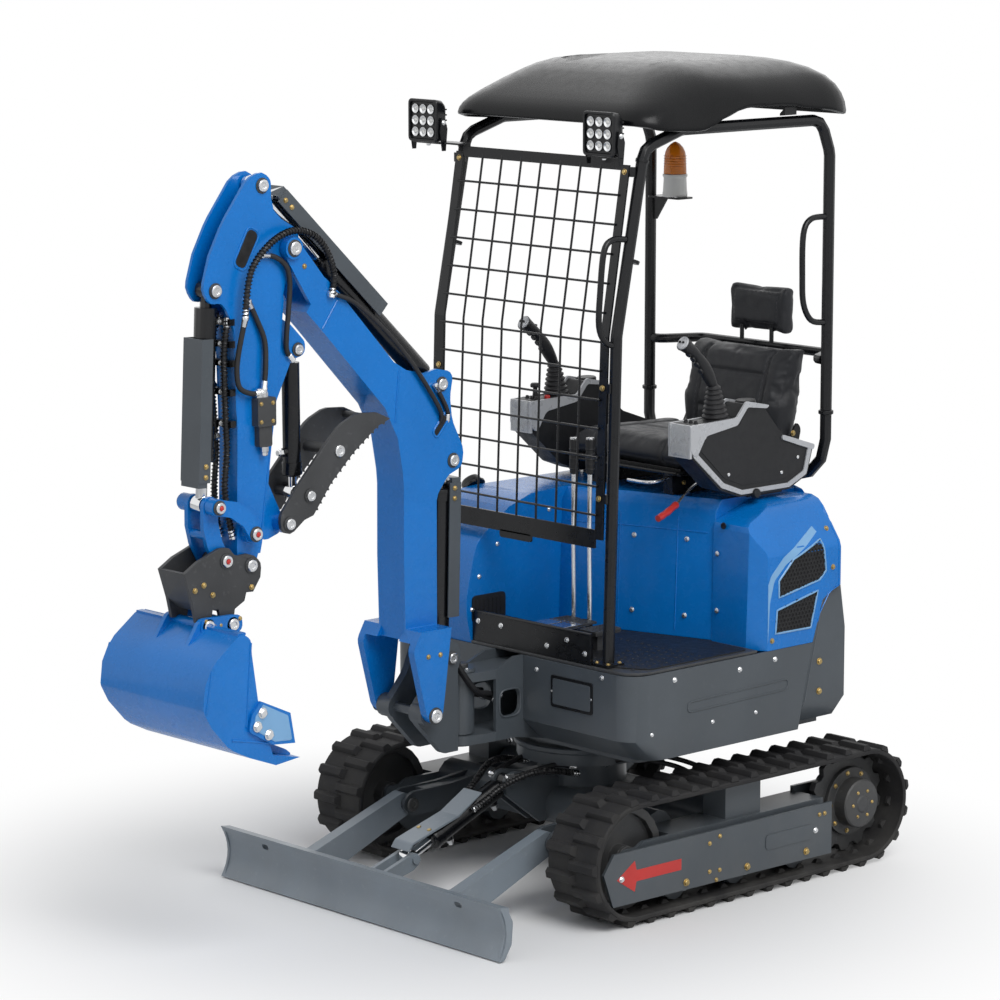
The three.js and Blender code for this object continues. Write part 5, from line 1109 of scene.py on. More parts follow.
# ---------- seat ----------
def cushion(name, node, f, shrink, cap, grooves, seams):
    """A padded piece from a CAD solid: a slightly smaller copy swells, then gets its sewn channels."""
    source = frame["nodes"][node]
    mesh = source.data.copy()
    mesh.name = name
    made = bpy.data.objects.new(name, mesh)
    bpy.context.scene.collection.objects.link(made)
    low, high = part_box(node)
    middle = (low + high) / 2
    size = high - low
    for v in mesh.vertices:
        for i in range(3):
            v.co[i] = middle[i] + (v.co[i] - middle[i]) * (1 - 2 * shrink * MM / size[i])
    bpy.context.view_layer.objects.active = made
    for other in bpy.context.selected_objects:
        other.select_set(False)
    made.select_set(True)
    remesh = made.modifiers.new("Even mesh", "REMESH")
    remesh.mode = "VOXEL"
    remesh.voxel_size = 0.006
    bpy.ops.object.modifier_apply(modifier="Even mesh")
    mesh = made.data
    rest = [v.co.copy() for v in mesh.vertices]
    cloth = made.modifiers.new("Swell", "CLOTH")
    cloth.settings.use_pressure = True
    cloth.settings.uniform_pressure_force = 4
    cloth.settings.effector_weights.gravity = 0
    cloth.settings.quality = 4
    scene = bpy.context.scene
    for number in range(1, 21):
        scene.frame_set(number)
    bpy.ops.object.modifier_apply(modifier="Swell")
    scene.frame_set(1)
    mesh = made.data
    for v, start in zip(mesh.vertices, rest):
        move = v.co - start
        if move.length > cap * MM:
            v.co = start + move.normalized() * cap * MM
    smooth = bmesh.new()
    smooth.from_mesh(mesh)
    for _ in range(3):
        bmesh.ops.smooth_vert(smooth, verts=smooth.verts, factor=0.4, use_axis_x=True, use_axis_y=True,
            use_axis_z=True)
    smooth.normal_update()
    for v in smooth.verts:
        p = Vector((v.co.x, v.co.y - SLEW_Y, v.co.z)) / MM
        sink = 0.0
        for distance, width, depth in grooves(p):
            sink = max(sink, depth * math.exp(-(distance / width) ** 2))
        if sink > 0.05:
            v.co -= v.normal * sink * MM
    smooth.to_mesh(mesh)
    smooth.free()
    mesh.materials.clear()
    mesh.materials.append(f["vinyl"])
    mesh.polygons.foreach_set("use_smooth", [True] * len(mesh.polygons))
    sub = made.modifiers.new("Fine surface", "SUBSURF")
    sub.levels = sub.render_levels = 1
    for i in range(3):
        if any(v.co[i] < low[i] - 0.012 or v.co[i] > high[i] + 0.012 for v in mesh.vertices):
            raise RuntimeError(f"{name} swells outside its solid")
    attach(made, "house")
    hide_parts(node)
    if seams:
        verts = [Vector((v.co.x, v.co.y - SLEW_Y, v.co.z)) / MM for v in mesh.vertices]
        SURFACES[name] = BVHTree.FromPolygons(verts, [tuple(p.vertices) for p in mesh.polygons])
        work = Work(f["thread"])
        step = bpy.context.scene.excavator_sizes.stitch / MM
        for direction, line in seams:
            path = subdivide(curve(line, 4), step)
            for a, b in zip(path[::2], path[1::2]):
                (ha, na), (hb, nb) = land(name, direction, a), land(name, direction, b)
                if (ha - hb).length < 3 * step:
                    work.tube([ha + na * 0.2, ha.lerp(hb, 0.5) + na * 0.9, hb + nb * 0.2], 0.55, 5)
        work.piece(f"{name}_stitches", "house", edge=0)
    return made


def seat(f, sizes):
    """Padded cushion, backrest and headrest with their pan, rails, belt buckle and handle."""
    def cushion_grooves(p):
        side = abs(abs(p.x) - 128)
        top = 1 if p.z > 1095 or p.y < 165 else 0.2
        return [(side, 7, 9 * top), (abs(p.y - 330) if abs(p.x) < 128 else 99, 6, 5 * top),
            (abs(p.z - 1086), 3.5, 3)]

    def back_grooves(p):
        front = 1 if p.y < 575 + (p.z - 1066) * 0.12 else 0.25
        side = abs(abs(p.x) - 118)
        across = min(abs(p.z - 1170), abs(p.z - 1270)) if abs(p.x) < 118 else 99
        return [(side, 7, 9 * front), (across, 6, 5 * front)]

    def head_grooves(p):
        edge = min(abs(abs(p.x) - 84), 99) if 1392 < p.z < 1486 else 99
        rows = min(abs(p.z - 1392), abs(p.z - 1486)) if abs(p.x) < 84 else 99
        front = 1 if p.y < 676 else 0.3
        return [(min(edge, rows), 4.5, 4 * front)]

    down, back = (0, 0, -1), (0, 1, 0)
    cushion("seat_pad", "seat_cushion", f, 7, 13, cushion_grooves,
            [(down, [(s * (128 + d), y, 1130) for y in (170, 250, 340, 430, 510)]) for s in (-1,
            1) for d in (-7, 7)])
    cushion("seat_back_pad", "seat_back", f, 7, 13, back_grooves,
            [(back, [(s * (118 + d), 600, z) for z in (1100, 1180, 1250, 1320)]) for s in (-1,
            1) for d in (-7, 7)])
    head = [(-78, 1398), (0, 1398), (78, 1398), (78, 1480), (0, 1480), (-78, 1480), (-78, 1398)]
    cushion("headrest_pad", "headrest", f, 5, 9, head_grooves,
            [(back, [(a[0], 660, a[1]), (b[0], 660, b[1])]) for a, b in zip(head, head[1:])])

    work = Work(f["black"], f["bright"], f["plastic"], f["red"], f["brass"])
    work.use(f["black"])
    work.prism("z", rounded_box(-196, 196, 150, 545, 30), 1052, 1060)
    work.tube(curve([(-196, 170, 1056), (-190, 152, 1056), (-160, 146, 1056), (160, 146, 1056),
        (190, 152, 1056), (196, 170, 1056)], 4), 5, 10)
    for s in (-1, 1):
        work.prism("y", [(s * 150, 1000), (s * 158, 1000), (s * 158, 1046), (s * 172, 1046), (s * 172, 1052),
            (s * 150, 1052)], 172, 505)
        work.tube([(s * 55, 655, 1345), (s * 55, 655, 1385)], 6, 12)
        work.prism("x", fillet([(520, 1052), (596, 1052, 12), (618, 1130, 30), (600, 1150, 10),
            (560, 1080, 20)]), *sorted((s * 197, s * 203)))
    work.use(f["brass"])
    for y in (215, 330, 445):
        work.bolt((158, y, 1022), (1, 0, 0), 5)
        work.bolt((-158, y, 1022), (-1, 0, 0), 5)
    for z in (1078, 1120):
        work.bolt((203, 585, z), (1, 0, 0), 6)
    work.use(f["plastic"])
    work.prism("x", rounded_box(470, 520, 1092, 1138, 8), 204, 226)
    work.prism("x", rounded_box(462, 476, 1104, 1118, 4), 210, 220)
    work.turned((-215, 500, 1100), (-1, 0, 0), [(-10, 20), (6, 20), (9, 17), (9, 8), (7, 0)], 24)
    work.use(f["bright"])
    work.tube(curve([(150, 168, 1040), (150, 120, 1034), (120, 108, 1030), (60, 106, 1030)], 5), 4.5, 10)
    work.tube(curve([(214, 490, 1090), (214, 486, 1060), (206, 480, 1040)], 5), 4, 8)
    work.tube(curve([(196, 330, 1046), (206, 240, 1034), (216, 176, 1014), (228, 118, 984), (234, 96, 976)],
        5), 4, 10)
    work.use(f["red"])
    work.tube(curve([(229, 116, 984), (238, 70, 968), (243, 34, 958)], 5),
        [9 + 0.8 * math.sin(k * 1.9) for k in range(11)], 14)
    work.piece("seat_fittings", "house", edge=0.7)


def consoles(f, sizes):
    """Side panels, trim bands, cups, knobs and ribbed levers of the two arm consoles."""
    for s, name in ((1, "left"), (-1, "right")):
        work = Work(f["plastic"], f["trim"], f["clear"], f["bright"], f["black"], f["red"])
        work.place = Matrix.Diagonal((s, 1, 1, 1))
        trim = fillet([(62, 1172, 8), (66, 1126, 22), (172, 1034, 16), (246, 1008, 10), (428, 1008, 14),
            (494, 1036, 10), (514, 1104, 8),
                       (500, 1108), (484, 1046, 8), (424, 1020, 12), (250, 1020, 10), (180, 1046, 14),
                       (80, 1134, 18), (76, 1172, 6)])
        work.use(f["trim"]).prism("x", trim, 333.6, 338)
        case = fillet([(55, 1208, 10), (55, 1140, 22), (78, 1122, 12), (112, 1176, 24), (228, 1192, 20),
            (266, 1236, 14), (338, 1226, 16), (348, 1234, 4), (262, 1252, 14), (226, 1212, 14)])
        work.prism("x", case, 332, 339.5)
        work.prism("x", case, 257, 263)
        work.prism("x", fillet([(402, 1150, 10), (525, 1112, 8), (520, 1098, 6), (470, 1114, 14),
            (398, 1138, 6)]), 332, 339)
        work.prism("z", rounded_box(258, 338, 54, 62, 3), 1122, 1208)
        panel = fillet([(92, 1190, 8), (92, 1142, 18), (184, 1058, 14), (252, 1032, 10), (418, 1032, 10),
            (470, 1056, 8),
                        (486, 1100, 8), (392, 1136, 20), (322, 1212, 12), (262, 1226, 10), (240, 1192, 12)])
        work.use(f["plastic"]).prism("x", panel, 333.8, 335.4)
        work.use(f["bright"])
        for y, z in ((110, 1172), (462, 1084), (200, 1066), (400, 1050)):
            work.turned((335.2, y, z), (1, 0, 0), [(0, 5), (1.6, 4.6), (2, 3), (1.2, 1), (1.2, 0)], 16)
        work.use(f["black"])
        work.turned((298, 202, 1205.2), UP, [(0, 40), (3, 40), (5, 37), (5, 34)], 32)
        work.use(f["plastic"])
        work.prism("x", fillet([(68, 1204.5), (230, 1204.5), (230, 1208, 2), (68, 1208, 2)]), 264, 332)
        work.use(f["black"])
        for k in range(3):
            work.turned((280 + k * 18, 96, 1208), UP, [(0, 6), (2, 6), (3, 4.6), (7, 4.2), (8, 3.4)], 16)
        work.use(f["clear"])
        work.prism("x", fillet([(50, 1206, 4), (50, 1130, 22), (62, 1118, 6), (96, 1140, 10),
            (100, 1206, 4)]), 268, 328)
        work.use(f["plastic"])
        work.turned((298, 300, 1236), (0, -0.05, 1), [(0, 25), (1, 27), (10, 27), (13, 25), (14, 18)], 28)
        if s < 0:
            work.use(f["plastic"]).turned((310, 120, 1208), UP,
                [(0, 8), (26, 6), (28, 13), (34, 14), (39, 11), (40, 0)], 20)
            work.use(f["red"]).turned((274, 130, 1208), UP, [(0, 8), (7, 8), (9, 6.5), (9, 0)], 20)
        work.use(f["plastic"])
        work.turned((336, 300, 1006), (1, 0, 0), [(-6, 13), (6, 13), (10, 11), (10, 0)], 20)
        work.piece(f"console_trim_{name}", "house", edge=0.6)

        stick = Work(f["plastic"], f["hose"], f["trim"], f["black"])
        stick.place = Matrix.Diagonal((s, 1, 1, 1))
        stick.use(f["hose"])
        boot = [(0, 35), (4, 36)]
        for k in range(7):
            h, r = 8 + k * 12.2, 33 - k * 2.6
            boot += [(h, r - 2), (h + 3, r + 1.6), (h + 7, r + 1.4), (h + 10, r - 3)]
        stick.turned((298, 187, 1205.3), (0, -0.095, 1), boot + [(98, 10)], 28)
        stick.use(f["plastic"])
        grip = curve([(298, 178, 1296), (298, 158, 1326), (298, 136, 1358), (298, 112, 1384), (298, 84, 1404),
            (298, 66, 1416)], 5)
        width = [12 + 5.5 * math.sin(math.pi * min(1,
            k / 14)) * (1 if k < 14 else 0) + (k > 13) * (k - 13) * 0.7 for k in range(len(grip))]
        stick.tube(grip, width, 20)
        for k in range(4):
            p = grip[8 + k * 3]
            stick.turned(p + Vector((0, -14, -6)), (0, -0.8, -0.5), [(0, 9), (4, 8), (5, 6)], 12)
        stick.use(f["trim"])
        stick.turned((298, 72, 1413), (0, -0.82, 0.5), [(0, 17), (3, 18.5), (9, 18), (12, 14), (13, 0)], 24)
        stick.use(f["black"])
        for dx in (-6, 6):
            stick.turned((298 + dx, 61, 1420), (0, -0.82, 0.5), [(0, 3.4), (3, 3.2), (3.6, 2)], 12)
        stick.turned((298, 108, 1404), (0, 0.2, 1), [(0, 6), (4, 5.6), (5, 4)], 14)
        stick.piece(f"control_stick_{name}", "house", edge=0.3,
            replaces=[f"joystick_{name}"])

    work = Work(f["bright"], f["plastic"], f["steel"], f["black"])
    for x, top in ((78, 1160), (18, 1154)):
        work.use(f["bright"]).tube(curve([(x, -50, 640), (x, -50, 760), (x, -52, 900), (x, -50, 1070)], 4),
            6.4, 14)
        work.use(f["plastic"]).turned((x, -50, top - 96), UP,
            [(0, 8), (3, 11), (30, 12.4), (60, 11.4), (88, 12.6), (95, 9), (96, 0)], 20)
        for k in range(5):
            work.turned((x, -50, top - 84 + k * 13), UP, [(0, 12), (2, 13.2), (4, 12)], 20)
        work.use(f["plastic"])
        work.turned((x, -50, 634), UP, [(0, 22), (6, 21), (10, 15), (18, 16), (22, 12), (34, 7)], 20)
        work.use(f["steel"])
        work.prism("z", rounded_box(x - 27, x + 27, -124, -46, 8), 672.5, 678)
        for i in range(4):
            for j in range(6):
                u, v = x - 18 + i * 12, -114 + j * 12
                work.prism("z", [(u - 4.6, v - 1.2), (u, v - 2), (u + 4.6, v - 1.2), (u + 4.6, v + 1.2),
                    (u, v + 2), (u - 4.6, v + 1.2)], 677.8, 679.4)
    work.use(f["steel"])
    work.prism("z", rounded_box(143, 207, -152, -58, 8), 673, 679)
    for i in range(5):
        for j in range(7):
            u, v = 151 + i * 12, -142 + j * 12
            work.prism("z", [(u - 4.6, v - 1.2), (u, v - 2), (u + 4.6, v - 1.2), (u + 4.6, v + 1.2),
                (u, v + 2), (u - 4.6, v + 1.2)], 678.8, 680.4)
    work.piece("lever_grips", "house", edge=0.4)


# ---------- front ----------
def pin_ends(f, sizes):
    """Caps, lock plates and bolts on the pins of the boom, arm, hitch and thumb."""
    jobs = (
        ("boom_pins", "boom_body", "blue_paint",
            ((-1024, 1719, 65, 17), (-542.5, 1344, 55, 15), (-504.5, 1147, 55, 15)), ()),
        ("post_pins", "post", "grey_paint", ((-617, 515, 111, 18), (-517, 642, 64, 14)), ()),
        ("arm_pins", "arm_body", "blue_paint", ((-1161, 962, 56, 15), (-1157, 1040, 72, 15), (-1247, 1631, 39,
        15), (-1101, 1872, 39, 15),
                                              (-1052, 1052, 71, 14), (-990, 1469, 33, 13)),
                                              ((-1157, 1040, 78),)),
        ("hitch_pins", "bucket_body", "dark_steel",
        ((-1237, 982, 56, 15), (-1307, 835, 72, 15), (-1233, 830, 72, 15)),
         ((-1237, 982, 62),)),
        ("thumb_pins", "thumb_body", "dark_steel", ((-987, 1114, 71, 13), (-892, 1214, 67, 15)), ()),
        ("rocker_pins", "rocker", "blue_paint", ((-1270, 1117, 74, 14),), ((-1270, 1117, 80),)),
    )
    for name, body, slot, pins, reds in jobs:
        work = Work(f["bright"], f["brass"], f["red"], f["steel"])
        for y, z, x, r in pins:
            for s in (-1, 1):
                work.use(f["bright"]).cap((s * (x - 0.5), y, z), (s, 0, 0), r, 6)
                work.use(f["steel"]).turned((s * (x - 4), y, z), (s, 0, 0),
                    [(0, r + 4), (2.4, r + 4), (3, r + 3)], 28)
        for y, z, x in reds:
            for s in (-1, 1):
                work.use(f["red"]).turned((s * (x - 2), y, z), (s, 0, 0),
                    [(0, 6), (2.4, 6), (3.4, 4), (3.6, 0)], 18)
        if name == "hitch_pins":
            work.use(f["brass"])
            for s in (-1, 1):
                for y, z in ((-1306, 932), (-1333, 922), (-1279, 905), (-1160, 909)):
                    work.bolt((s * 52, y, z), (s, 0, 0), 5.5)
                for y, z in ((-1270, 833),):
                    work.bolt((s * 68, y, z), (s, 0, 0), 4.5)
        if name == "boom_pins":
            work.use(f["brass"])
            for s in (-1, 1):
                for y, z in ((-985, 1672), (-600, 712), (-640, 712)):
                    x = 51 if z > 900 else 108
                    work.bolt((s * x, y, z if z > 900 else 700 - 30), (s, 0, 0), 5)
        if name == "rocker_pins":
            work.use(f["bright"])
            for s in (-1, 1):
                work.rod((s * 19, -1270, 1117), (s * 40, -1270, 1117), 11.4, 20)
        work.piece(name, body, edge=0.3)


def front_panels(f, sizes):
    """Welds, the oval slot with a near-black plate that paints the shade seen through it, its rim, and blank
    plates on the boom and the arm.
    """
    work = Work(f["blue"], f["dark"], f["black"], f["brass"])
    for s in (-1, 1):
        way = (-s, 0, 0)
        # A near-black plate inside the boom's oval slot: painted shade seen through the hole.
        work.use(f["dark"]).prism("x", fillet([(-560, 1212, 22), (-516, 1262, 22), (-524, 1276, 22),
            (-570, 1226, 22)], 6), *sorted((s * 50, s * 51.4)))
        work.use(f["blue"])
        oval = fillet([(-560, 1208, 24), (-510, 1264, 24), (-522, 1282, 24), (-574, 1226, 24)], 6)
        work.tube([(s * 51, y, z) for y, z in oval], 3.2, 8, loop=True)
        for a, b in (((-664, 735), (-562, 735)), ((-697, 1262), (-684, 1390)), ((-930, 1516), (-873, 1594))):
            seam(work, "boom", way, [(s * 51, *a), (s * 51, *b)], 2.6, 0.2)
    work.piece("boom_detail", "boom_body", edge=0.3)

    arm = Work(f["blue"], f["dark"], f["black"], f["bright"], f["brass"], f["steel"])
    for s in (-1, 1):
        # A near-black plate inside the arm's slot: painted shade seen through the hole.
        arm.use(f["dark"]).prism("x", fillet([(-1142, 1774, 16), (-1112, 1758, 16), (-1158, 1676, 14),
            (-1188, 1690, 14)], 6), *sorted((s * 34, s * 35.4)))
        arm.use(f["blue"]).tube([(s * 35, y, z) for y,
            z in fillet([(-1144, 1780, 18), (-1108, 1760, 18), (-1157, 1670, 16), (-1193, 1687, 16)], 6)],
            2.8, 8, loop=True)
        seam(arm, "arm", (-s, 0, 0), [(s * 35, -1186, 1300), (s * 35, -1190, 1510)], 2.2, 0.1)
        seam(arm, "arm", (-s, 0, 0), [(s * 35, -1115, 1030), (s * 35, -1066, 1350)], 2.2, 0.1)
    arm.use(f["steel"])
    for s in (-1, 1):
        arm.prism("x", rounded_box(-1140, -1084, 1296, 1366, 6), *sorted((s * 35, s * 60)))
        arm.prism("x", rounded_box(-1132, -1092, 1246, 1300, 6), *sorted((s * 35, s * 54)))
        arm.use(f["brass"])
        for y, z in ((-1130, 1352), (-1094, 1352), (-1130, 1308), (-1094, 1308)):
            arm.bolt((s * 60, y, z), (s, 0, 0), 4)
        arm.use(f["bright"])
        for y, z, d in ((-1112, 1366, 1), (-1126, 1366, 1), (-1112, 1246, -1)):
            arm.turned((s * 48, y, z), (0, 0, d), [(0, 10), (12, 10), (13, 8.4), (20, 8.4), (22, 7)], 6)
        arm.use(f["steel"])
    arm.use(f["black"])
    for z in (1552, 1499, 1453, 1383, 1307):
        arm.block(-37, 37, -1206, -1190, z - 8, z + 8)
        arm.use(f["bright"]).bolt((0, -1206, z), (0, -1, 0), 4.5)
        arm.use(f["black"])
    arm.piece("arm_detail", "arm_body", edge=0.6)


def rods(f, sizes):
    """Glands, ports and wiper rings of the cylinders, and the folded guards' bolts."""
    rows = (
        ("boom", (-517, 642), (-504.5, 1147), 31, 15, 0.84, "boom_barrel", "boom_rod", (60, 405, 2)),
        ("arm", (-542.5, 1344), (-1101, 1872), 29, 15, 0.63, "arm_barrel", "arm_rod", (62, 500, 5)),
        ("bucket", (-1247, 1631), (-1270, 1117), 27, 14, 0.785, "bucket_barrel", "bucket_rod", (56, 400, 2)),
        ("thumb", (-990, 1469), (-987, 1114), 22, 11, 0.86, "thumb_barrel", "thumb_rod", None),
        ("blade", (-277, 270), (-616, 128), 27, 14, 0.76, "blade_barrel", "blade_rod", None),
    )
    for name, base, eye, barrel, rod, share, body, rod_body, guard in rows:
        a, b = Vector((0, *base)), Vector((0, *eye))
        length, way = (b - a).length, (b - a).normalized()
        end = length * share
        work = Work(f["cylinder"], f["bright"], f["brass"])
        out = Vector((0, way.z, -way.y)) * (-1 if name in ("thumb",) else 1)
        work.turned(a + way * (end + 3.6), way,
            [(-9, barrel + 4), (0, barrel + 3.6), (3, barrel), (3, rod + 4), (6, rod + 3), (6, rod + 0.7)],
            36)
        for k in range(4):
            t = math.pi * (k / 2 + 0.25)
            side = out * math.cos(t) + Vector((math.sin(t), 0, 0))
            work.turned(a + way * (end - 14) + side * (barrel + 2.4), side, [(0, 3), (1, 2.6), (1, 0)], 6)
        for distance in (60, end - 52):
            work.use(f["cylinder"]).turned(a + way * distance - out * (barrel - 3), -out,
                [(0, 11), (10, 11), (12, 9)], 18)
            work.use(f["bright"]).turned(a + way * distance - out * (barrel + 8), -out,
                [(0, 9.5), (9, 9.5), (10, 8), (15, 7.4)], 6)
        work.piece(f"{name}_gland", body, edge=0.3)
        if guard:
            near, far, gap = guard
            cover = Work(f["grey"], f["brass"])
            r = barrel + 3 + gap + 4
            for s in (-1, 1):
                for distance in (near + 14, near + 40):
                    p = b - way * distance + out * (r * 0.45) + Vector((s * r, 0, 0))
                    cover.use(f["brass"]).bolt(p, (s, 0, 0), 5)
            cover.use(f["grey"])
            for u in (-r + 7, r - 7):
                cover.tube([b - way * (near + 6) + Vector((u, 0, 0)),
                    b - way * (near + 7) + Vector((u, 0, 0))], 0.6, 4)
            cover.piece(f"{name}_guard_bolts", rod_body, edge=0.3)


def bucket_detail(f, sizes):
    """Side cutters, tooth shanks, welds and the bolt patch of the bucket, and the thumb's teeth."""
    work = Work(f["blue"], f["pale"], f["brass"], f["bright"], f["steel"])
    for s in (-1, 1):
        way = (-s, 0, 0)
        for a, b in (((-1284, 812), (-1300, 610)), ((-1400, 770), (-1420, 660)),
            ((-1345, 585), (-1225, 560))):
            seam(work, "bucket", way, [(s * 200, *a), (s * 200, *b)], 3.0, 0.0)
        work.use(f["pale"]).prism("x", fillet([(-1256, 660), (-1180, 622, 6), (-1168, 560, 6), (-1222, 564,
            6), (-1286, 604, 12), (-1280, 634, 10)]), *sorted((s * 208, s * 210.2)))
        work.use(f["bright"])
        for y, z in ((-1259, 640), (-1275, 609), (-1240, 584)):
            work.bolt((s * 210, y, z), (s, 0, 0), 10)
        work.use(f["blue"])
        rings = fillet([(-1330, 856, 22), (-1206, 853, 24), (-1203, 810, 24), (-1250, 806, 10),
            (-1332, 812, 22)], 5)
        work.prism("x", rings, *sorted((s * 68, s * 71)))
        work.use(f["brass"])
        for y, z in ((-1319, 852), (-1293, 836), (-1241, 834), (-1216, 846)):
            work.bolt((s * 71, y + 4, z - 4), (s, 0, 0), 4.2)
        work.use(f["blue"])
    for i in range(4):
        x = -150 + i * 100
        work.use(f["blue"])
        work.skin([[(x - w, y, z0), (x + w, y, z0), (x + w, y, z1), (x - w, y, z1)] for y, w, z0, z1 in
                   ((-1250, 20, 541, 556), (-1215, 21, 532, 556), (-1185, 18, 522, 542),
                       (-1150, 14, 513, 526), (-1136, 13, 511, 515))])
    work.use(f["blue"])
    work.tube([(-186, -1288, 812), (186, -1288, 812)], 10, 18)
    work.tube([(-192, -1296, 834), (192, -1296, 834)], 4, 10)
    work.piece("bucket_detail", "bucket_body", edge=1.2)

    thumb = Work(f["steel"], f["bright"])
    edge = [(-846, 1205), (-768, 1262), (-726, 1277)]
    for s in (-1, 1):
        line = subdivide([Vector((0, *p)) for p in [(-976, 1064), (-917, 1139)] + edge], 19)
        for k in range(1, len(line) - 1):
            p, q = line[k], line[k + 1] if k + 1 < len(line) else line[k]
            if (q - p).length < 4:
                continue
            along = (q - p).normalized()
            out = Vector((0, along.z, -along.y))
            a, b, c = p - along * 6 - out * 2, p + along * 6 - out * 2, p + out * 6.5
            thumb.prism("x", [(a.y, a.z), (b.y, b.z), (c.y, c.z)], *sorted((s * 57.2, s * 65.8)))
    thumb.use(f["steel"]).tube([(-56, -770, 1280), (56, -770, 1280)], 9, 16)
    thumb.tube([(-56, -960, 1120), (56, -960, 1120)], 11, 16)
    thumb.piece("thumb_detail", "thumb_body", edge=0.5)


def hoses(f, sizes):
    """Hydraulic hoses with their guards and crimped ends."""
    r = sizes.hose / MM / 2

    def run(name, body, lines, guarded=(), blend=None, radius=r):
        work = Work(f["hose"], f["bright"], f["black"])
        for i, line in enumerate(lines):
            path = curve(line, 7)
            work.use(f["hose"]).tube(path, radius, 14)
            for p, q in ((path[0], path[1]), (path[-1], path[-2])):
                way = (q - p).normalized()
                work.use(f["bright"]).turned(p - way * 4, way,
                    [(0, radius * 0.9), (2, radius * 1.35), (8, radius * 1.35), (9, radius * 1.2),
                    (24, radius * 1.18), (25, radius)], 12)
            if i in guarded:
                work.use(f["black"]).tube(helix(path, radius + 1.5, 9.0, 9), 1.7, 5)
        work.piece(name, body, edge=0, blend=blend)

    arch = [(-906, 1593), (-898, 1646), (-926, 1707), (-967, 1747), (-1028, 1762), (-1090, 1742),
        (-1145, 1696), (-1169, 1646), (-1180, 1563)]
    for s in (-1, 1):
        name = "left" if s > 0 else "right"
        run(f"arm_hoses_{name}", None, [
            [(s * (58 + (k > 1) * 6), y, z) for k, (y, z) in enumerate(arch)],
        ], guarded=(0,), blend=("boom_body", "arm_body", (0, -930, 1600), (0, -1165, 1650)))
        run(f"arm_side_hoses_{name}", "arm_body", [
            [(s * 64, -1180, 1563), (s * 52, -1194, 1469), (s * 50, -1195, 1420), (s * 50, -1184, 1392),
                (s * 50, -1150, 1378), (s * 48, -1120, 1378)],
            [(s * 40, -1108, 1706), (s * 46, -1074, 1701), (s * 48, -1040, 1677), (s * 46, -1027, 1634),
            (s * 44, -1031, 1560), (s * 42, -1035, 1512), (s * 36, -1030, 1470), (s * 30, -1008, 1445)],
            [(s * 42, -1153, 1601), (s * 44, -1130, 1557), (s * 46, -1107, 1502), (s * 48, -1106, 1440),
            (s * 48, -1112, 1385)],
            [(s * 22, -1200, 1560), (s * 24, -1214, 1480), (s * 24, -1214, 1400), (s * 22, -1210, 1320),
            (s * 20, -1206, 1240), (s * 20, -1214, 1150), (s * 24, -1206, 1080), (s * 24, -1194, 1030)],
        ], guarded=(3,))
        run(f"boom_hoses_{name}", "boom_body", [
            [(s * 30, -560, 1225), (s * 58, -548, 1262), (s * 62, -590, 1330), (s * 60, -660, 1420),
                (s * 60, -740, 1500), (s * 60, -830, 1570), (s * 58, -890, 1596), (s * 56, -912, 1600)],
            [(s * 46, -520, 1250), (s * 57, -530, 1280), (s * 58, -570, 1345)],
        ], radius=r * 0.9)
        run(f"post_hoses_{name}", None, [
            [(s * (24 + 12 * k), -330, 500 + 14 * k), (s * (26 + 12 * k), -372, 515 + 10 * k),
                (s * (44 + 10 * k), -430, 545), (s * (46 + 8 * k), -486, 612), (s * (40 + 4 * k), -530, 690)]
            for k in (0, 1)
        ], blend=("house", "post", (0, -400, 520), (0, -480, 600)))
    run("rear_hoses", "chassis", [
        [(s * 130, -40, 300), (s * 190, -30, 322), (s * 250, 0, 324), (s * 320, 40, 312), (s * 372, 74, 280),
            (s * 386, 96, 252)] for s in (-1, 1)
    ] + [[(s * 130, 10, 300), (s * 196, 24, 326), (s * 262, 60, 326), (s * 330, 104, 306),
        (s * 380, 140, 270)] for s in (-1, 1)])
    run("pedestal_hoses", "chassis", [
        [(s * 96, -110, 280), (s * 96, -190, 300), (s * 80, -260, 302), (s * 52, -330, 276),
            (s * 40, -380, 246), (s * 34, -420, 226)] for s in (-1, 1)
    ], guarded=(0, 1))
    run("blade_hoses", "chassis", [
        [(s * 70, -95, 290), (s * 64, -150, 305), (s * 52, -210, 300), (s * 44, -262, 292),
            (s * 30, -300, 288)] for s in (-1, 1)
    ])


# ---------- finishes on the frame's own solids ----------
CAD_FINISHES = {
    "blue": ("boom", "arm", "bucket", "rocker_link_left", "rocker_link_right", "bucket_link", "seat_base",
        "right_hood",
             "left_hood", "rear_bonnet"),
    "grey": ("chassis_frame", "track_frame_left", "track_frame_right", "house_frame", "skirt_left",
    "skirt_right",
             "counterweight", "swing_post"),
    # The blade's finish is the grey paint made lighter as a painted highlight.
    "blade": ("blade", "blade_arms"),
    "steel": ("idler_left", "idler_right", "sprocket_left", "sprocket_right", "floor_plate", "quick_hitch",
    "thumb",
              "swing_pedal"),
    "black": ("canopy_left", "canopy_right", "canopy_rear_loop", "canopy_rear_bar", "seat_mount",
    "front_crossbar",
              "canopy_roof", "mesh_guard", "work_light_left", "work_light_right"),
    "cylinder": ("blade_cylinder_barrel", "boom_cylinder_barrel", "arm_cylinder_barrel",
    "bucket_cylinder_barrel",
                 "thumb_cylinder_barrel"),
    "chrome": ("thumb_cylinder_rod", "blade_cylinder_rod"),
    "rubber": ("track_left", "track_right"),
    "plastic": ("console_left", "console_right", "joystick_left", "joystick_right"),
    "vinyl": ("seat_cushion", "seat_back", "headrest"),
    "bright": ("travel_levers",),
    "alloy": ("engine_block",),
    "amber": ("beacon",),
}
TIGHT_EDGES = ("track_left", "track_right", "mesh_guard", "travel_levers", "joystick_left", "joystick_right")
GUARDED_RODS = {"boom": ((-517, 642), (-504.5, 1147)), "arm": ((-542.5, 1344), (-1101, 1872)),
    "bucket": ((-1247, 1631), (-1270, 1117))}


